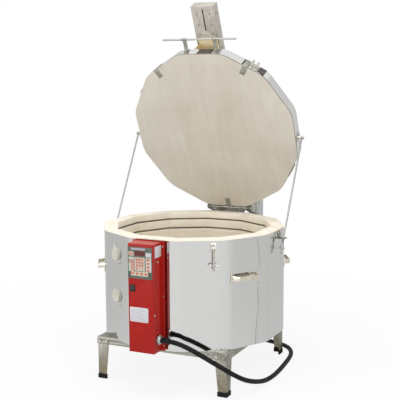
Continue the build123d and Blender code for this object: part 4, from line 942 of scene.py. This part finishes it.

# Control box: red powder-coated cover on a red back plate, painted a lighter red on top as painted
# sheen, with the controller panel above, the rocker switch below it and two label plates.

red_paint = mottled(
    "red_powder_coat", (0.32, 0.0095, 0.006), (0.36, 0.012, 0.008), rough=(0.3, 0.38), blotch=6,
    grain=650, relief=0.00006, shine=0.14,
)
# A lighter, rougher red for the cover's top: painted sheen of the coat where it faces up.
red_painted_sheen = mottled(
    "red_painted_sheen", (0.48, 0.075, 0.055), (0.56, 0.13, 0.1), rough=(0.45, 0.6), blotch=60, grain=400,
)
panel_film = mottled(
    "panel_film", (0.085, 0.1, 0.075), (0.105, 0.12, 0.09), rough=(0.42, 0.5), blotch=20, grain=800
)
black_plastic = mottled(
    "black_plastic", (0.012, 0.012, 0.013), (0.02, 0.02, 0.021), rough=(0.3, 0.42), blotch=50,
    grain=900, shine=0.25,
)
label_film = mottled(
    "label_film", (0.53, 0.53, 0.545), (0.58, 0.58, 0.595), rough=(0.3, 0.4), blotch=12, grain=500
)
key_film = mottled(
    "key_film", (0.56, 0.49, 0.38), (0.62, 0.55, 0.43), rough=(0.35, 0.45), blotch=60, grain=500
)
display_film = mottled(
    "display_film", (0.085, 0.006, 0.008), (0.105, 0.009, 0.011), rough=(0.12, 0.2), blotch=20,
    grain=300,
)
PAINTED_SHEEN_SLOPE = 0.7
eased("control_back_plate", 0.0004, red_paint)
cover = eased("control_cover", 0.0012, red_paint)
cover.data.materials.append(red_painted_sheen)
# The cover's upward faces take the painted sheen.
for face in cover.data.polygons:
    if face.normal.z > PAINTED_SHEEN_SLOPE:
        face.material_index = 1
eased("controller_panel", 0.0004, panel_film)
eased("keypad", 0.0003, key_film)
dress("display_window", display_film)
eased("rocker_frame", 0.0006, black_plastic)
eased("rocker", 0.0005, black_plastic)
eased("label_plates", 0.0002, label_film)
dress("cover_screws", zinc)

# Printed film on the controller: pale fields under the keys and beside the display, and bars next to
# them, all thin and flat on the panel's face.

BOX_OUT = 0.09
PANEL_FACE = 0.0015
FILM = 0.00018
PRINT_TALL = 0.0001
BEND = 0.0015
BEND_STEPS = 4


def film_finish(name, dark, light):
    return mottled(name, dark, light, rough=(0.35, 0.45), blotch=60, grain=500)


def field(shape, left, right, low, high, out, thick, bend=BEND):
    """A flat field with round corners on the front of the box, between these edges."""
    outline = []
    for x, z, start in (
        (right - bend, high - bend, 0), (left + bend, high - bend, 90),
        (left + bend, low + bend, 180), (right - bend, low + bend, 270),
    ):
        for step in range(BEND_STEPS):
            turn = math.radians(start + 90 * step / (BEND_STEPS - 1))
            outline.append((x + bend * math.cos(turn), z + bend * math.sin(turn)))
    front = [shape.verts.new((x, -APOTHEM - out - thick, z)) for x, z in outline]
    back = [shape.verts.new((x, -APOTHEM - out, z)) for x, z in outline]
    shape.faces.new(front[::-1])
    skin(shape, back, front)
    bmesh.ops.recalc_face_normals(shape, faces=shape.faces)


def printed(name, finish, fields, out, thick):
    """One piece of film or print on the front of the box."""
    shape = bmesh.new()
    for left, right, low, high, *bend in fields:
        field(shape, left, right, low, high, out, thick, *bend)
    added(name, settled(shape, name, finish), "controller_panel")


face_out = BOX_OUT + PANEL_FACE
cream_film = film_finish("cream_film", (0.46, 0.42, 0.33), (0.52, 0.47, 0.38))
white_film = film_finish("white_film", (0.47, 0.46, 0.47), (0.54, 0.53, 0.54))
pink_film = film_finish("pink_film", (0.46, 0.21, 0.18), (0.54, 0.26, 0.23))
green_film = film_finish("green_film", (0.4, 0.44, 0.34), (0.47, 0.51, 0.41))
dark_film = film_finish("dark_film", (0.045, 0.06, 0.042), (0.06, 0.075, 0.055))
strip_film = film_finish("strip_film", (0.32, 0.32, 0.36), (0.38, 0.38, 0.42))
rose_print = film_finish("rose_print", (0.42, 0.15, 0.11), (0.5, 0.2, 0.15))
red_print = film_finish("red_print", (0.44, 0.09, 0.055), (0.52, 0.12, 0.075))
# Each film's fields: left, right, low and high edges, and where it isn't the usual one, the bend.
for name, finish, fields in (
    ("panel_title_strip", strip_film, ((-0.054, 0.017, 0.6735, 0.681),)),
    ("panel_cream", cream_film, (
        (-0.0665, -0.0415, 0.646, 0.665), (-0.0375, 0.0135, 0.5805, 0.6405),
        (-0.055, 0.029, 0.5575, 0.5775),
    )),
    ("panel_white", white_film, ((0.0185, 0.0455, 0.643, 0.6635), (0.0185, 0.0455, 0.579, 0.641))),
    ("panel_green", green_film, ((-0.0665, -0.040, 0.630, 0.641), (-0.0665, -0.0565, 0.577, 0.616))),
    ("panel_pink", pink_film, ((-0.0665, -0.039, 0.6175, 0.6285), (-0.0555, -0.040, 0.577, 0.616))),
    ("panel_dark", dark_film, (
        (-0.069, 0.047, 0.6425, 0.6445, 0.0009), (-0.069, -0.0565, 0.553, 0.575),
        (0.031, 0.047, 0.553, 0.575), (0.017, 0.030, 0.669, 0.682), (-0.069, -0.058, 0.669, 0.682),
    )),
):
    printed(name, finish, fields, face_out, FILM)
BAR_TALL = 0.003
BAR_BEND = 0.0008
BAR_PITCH = 0.0055
BAR_LEFT, BAR_RIGHT, BAR_LOW = (-0.064, -0.044, 0.649)
bars = []
for k in range(3):
    low = BAR_LOW + BAR_PITCH * k
    bars.append((BAR_LEFT, BAR_RIGHT, low, low + BAR_TALL, BAR_BEND))
printed("panel_red_bars", red_print, bars, face_out + FILM, PRINT_TALL)

# Label bars: eight plain grey lines of print on the label plate under the rocker switch, which is a
# film stuck to the cover's front.

LABEL_TALL = 0.0006
LINE_TALL = 0.0022
LINE_PITCH = 0.0072
LINE_STEP = 0.012
LABEL_LEFT, LABEL_RIGHT, LABEL_LOW = (-0.060, 0.022, 0.3545)
lines = []
for k in range(8):
    low = LABEL_LOW + LINE_PITCH * k
    lines.append((LABEL_LEFT, LABEL_RIGHT - LINE_STEP * (k % 3), low, low + LINE_TALL, BAR_BEND))
grey_print = film_finish("grey_print", (0.34, 0.34, 0.36), (0.4, 0.4, 0.42))
printed("label_bars", grey_print, lines, BOX_OUT + LABEL_TALL, PRINT_TALL)

# Key legends: the digits of the number pad on rose fields, and plain bars on the other keys, all
# printed on the membrane.

KEY_TALL = 0.0008
KEYPAD = (-0.012, 0.611)
KEY_PITCH = (0.014, 0.0135)
KEY_BEND = 0.0012
DIGIT_SIZE = 0.0125
DIGIT_WEIGHT = 0.0006
key_out = face_out + KEY_TALL
# The other keys' bars: middle of each, then half its width and height.
KEY_BARS = [(0.0305, 0.608 + 0.016 * (k - 1.5), 0.007, 0.0045) for k in range(4)]
KEY_BARS += [(KEYPAD[0] - 0.002 + 0.022 * (k - 1.5), 0.568, 0.006, 0.0055) for k in range(4)]
KEY_BARS += [(KEYPAD[0] + KEY_PITCH[0] * k, 0.59075, 0.0036, 0.00275) for k in range(2)]
key_places = [
    (KEYPAD[0] + KEY_PITCH[0] * (k % 3 - 1), KEYPAD[1] + KEY_PITCH[1] * (1.5 - k // 3))
    for k in range(10)
]
rose_fields = [(x, z, 0.0052, 0.005) for x, z in key_places]
for name, finish, middles in (
    ("key_bars", red_print, KEY_BARS), ("key_fields", rose_print, rose_fields),
):
    fields = [(x - wide, x + wide, z - tall, z + tall, KEY_BEND) for x, z, wide, tall in middles]
    printed(name, finish, fields, key_out, PRINT_TALL)
digits = bmesh.new()
for digit, (x, z) in zip("1234567890", key_places):
    text = bpy.data.curves.new("digit", "FONT")
    text.body = digit
    text.size = DIGIT_SIZE
    text.offset = DIGIT_WEIGHT
    text.extrude = PRINT_TALL / 2
    text.align_x = "CENTER"
    text.align_y = "CENTER"
    outline = plain_mesh(new_object("digit", text))
    place = Matrix.Translation((x, -APOTHEM - key_out - 1.5 * PRINT_TALL, z))
    outline.transform(place @ Matrix.Rotation(math.pi / 2, 4, "X"))
    digits.from_mesh(outline)
added("key_digits", settled(digits, "key_digits", red_print), "keypad")

# Inside the box: a green circuit board, the transformer with its iron core, and three relays and the
# terminal block for the cord in black plastic.

board_green = mottled(
    "board_green", (0.015, 0.1, 0.03), (0.02, 0.13, 0.045), rough=(0.3, 0.4), blotch=60, grain=300
)
core_iron = mottled(
    "core_iron", (0.05, 0.05, 0.055), (0.09, 0.09, 0.1), rough=(0.4, 0.6), metallic=0.6, blotch=60,
    grain=400, stretch=(1, 1, 8),
)
dress("circuit_board", board_green)
dress("transformer", core_iron)
dress("relays", black_plastic)
dress("terminal_block", black_plastic)

# Cable gland: a nickel-plated hexagon body with its domed nut, and the cord's ribbed rubber strain
# relief that tapers out of it.

gland_metal = mottled(
    "gland_metal", (0.4, 0.42, 0.43), (0.52, 0.54, 0.55), rough=(0.25, 0.36), metallic=1.0, blotch=80,
    grain=400,
)
eased("cable_gland", 0.0008, gland_metal)

RELIEF_LONG = 0.042
RELIEF_RIBS = 6
RELIEF_SIDES = 28
RELIEF_INSIDE = 0.004
RIB_OUT = 0.0036
RIB_TAPER = 0.0028
# A rib's section: along from its start, or back from its end, and in from its widest.
RIB_START = ((0.0002, 0.0004), (0.0008, 0))
RIB_END = ((0.0022, 0.0004), (0.0016, 0.0010), (0.0004, 0.0011))
RELIEF_LIP = (0.0005, -0.0002)
relief_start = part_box("cable_gland")[1].x - RELIEF_INSIDE
pitch = RELIEF_LONG / RELIEF_RIBS
relief = bmesh.new()
profile = [(0.0, CORD_LAY + RELIEF_LIP[0])]
for rib in range(RELIEF_RIBS):
    at = pitch * rib
    wide = CORD_LAY + RIB_OUT - RIB_TAPER * rib / RELIEF_RIBS
    profile += [(at + along, wide - inset) for along, inset in RIB_START]
    profile += [(at + pitch - back, wide - inset) for back, inset in RIB_END]
profile += [(RELIEF_LONG, CORD_LAY + step) for step in RELIEF_LIP]
rings = []
for along, radius in profile:
    turns = [2 * math.pi * k / RELIEF_SIDES for k in range(RELIEF_SIDES)]
    rings.append([
        relief.verts.new((
            relief_start + along, CORD_ROUTE[0][1] + radius * math.cos(turn),
            CORD_ROUTE[0][2] + radius * math.sin(turn),
        )) for turn in turns
    ])
for near, far in zip(rings, rings[1:]):
    skin(relief, near, far)
bmesh.ops.recalc_face_normals(relief, faces=relief.faces)
crease(relief)
added("strain_relief", settled(relief, "strain_relief", cord_rubber), "cord")
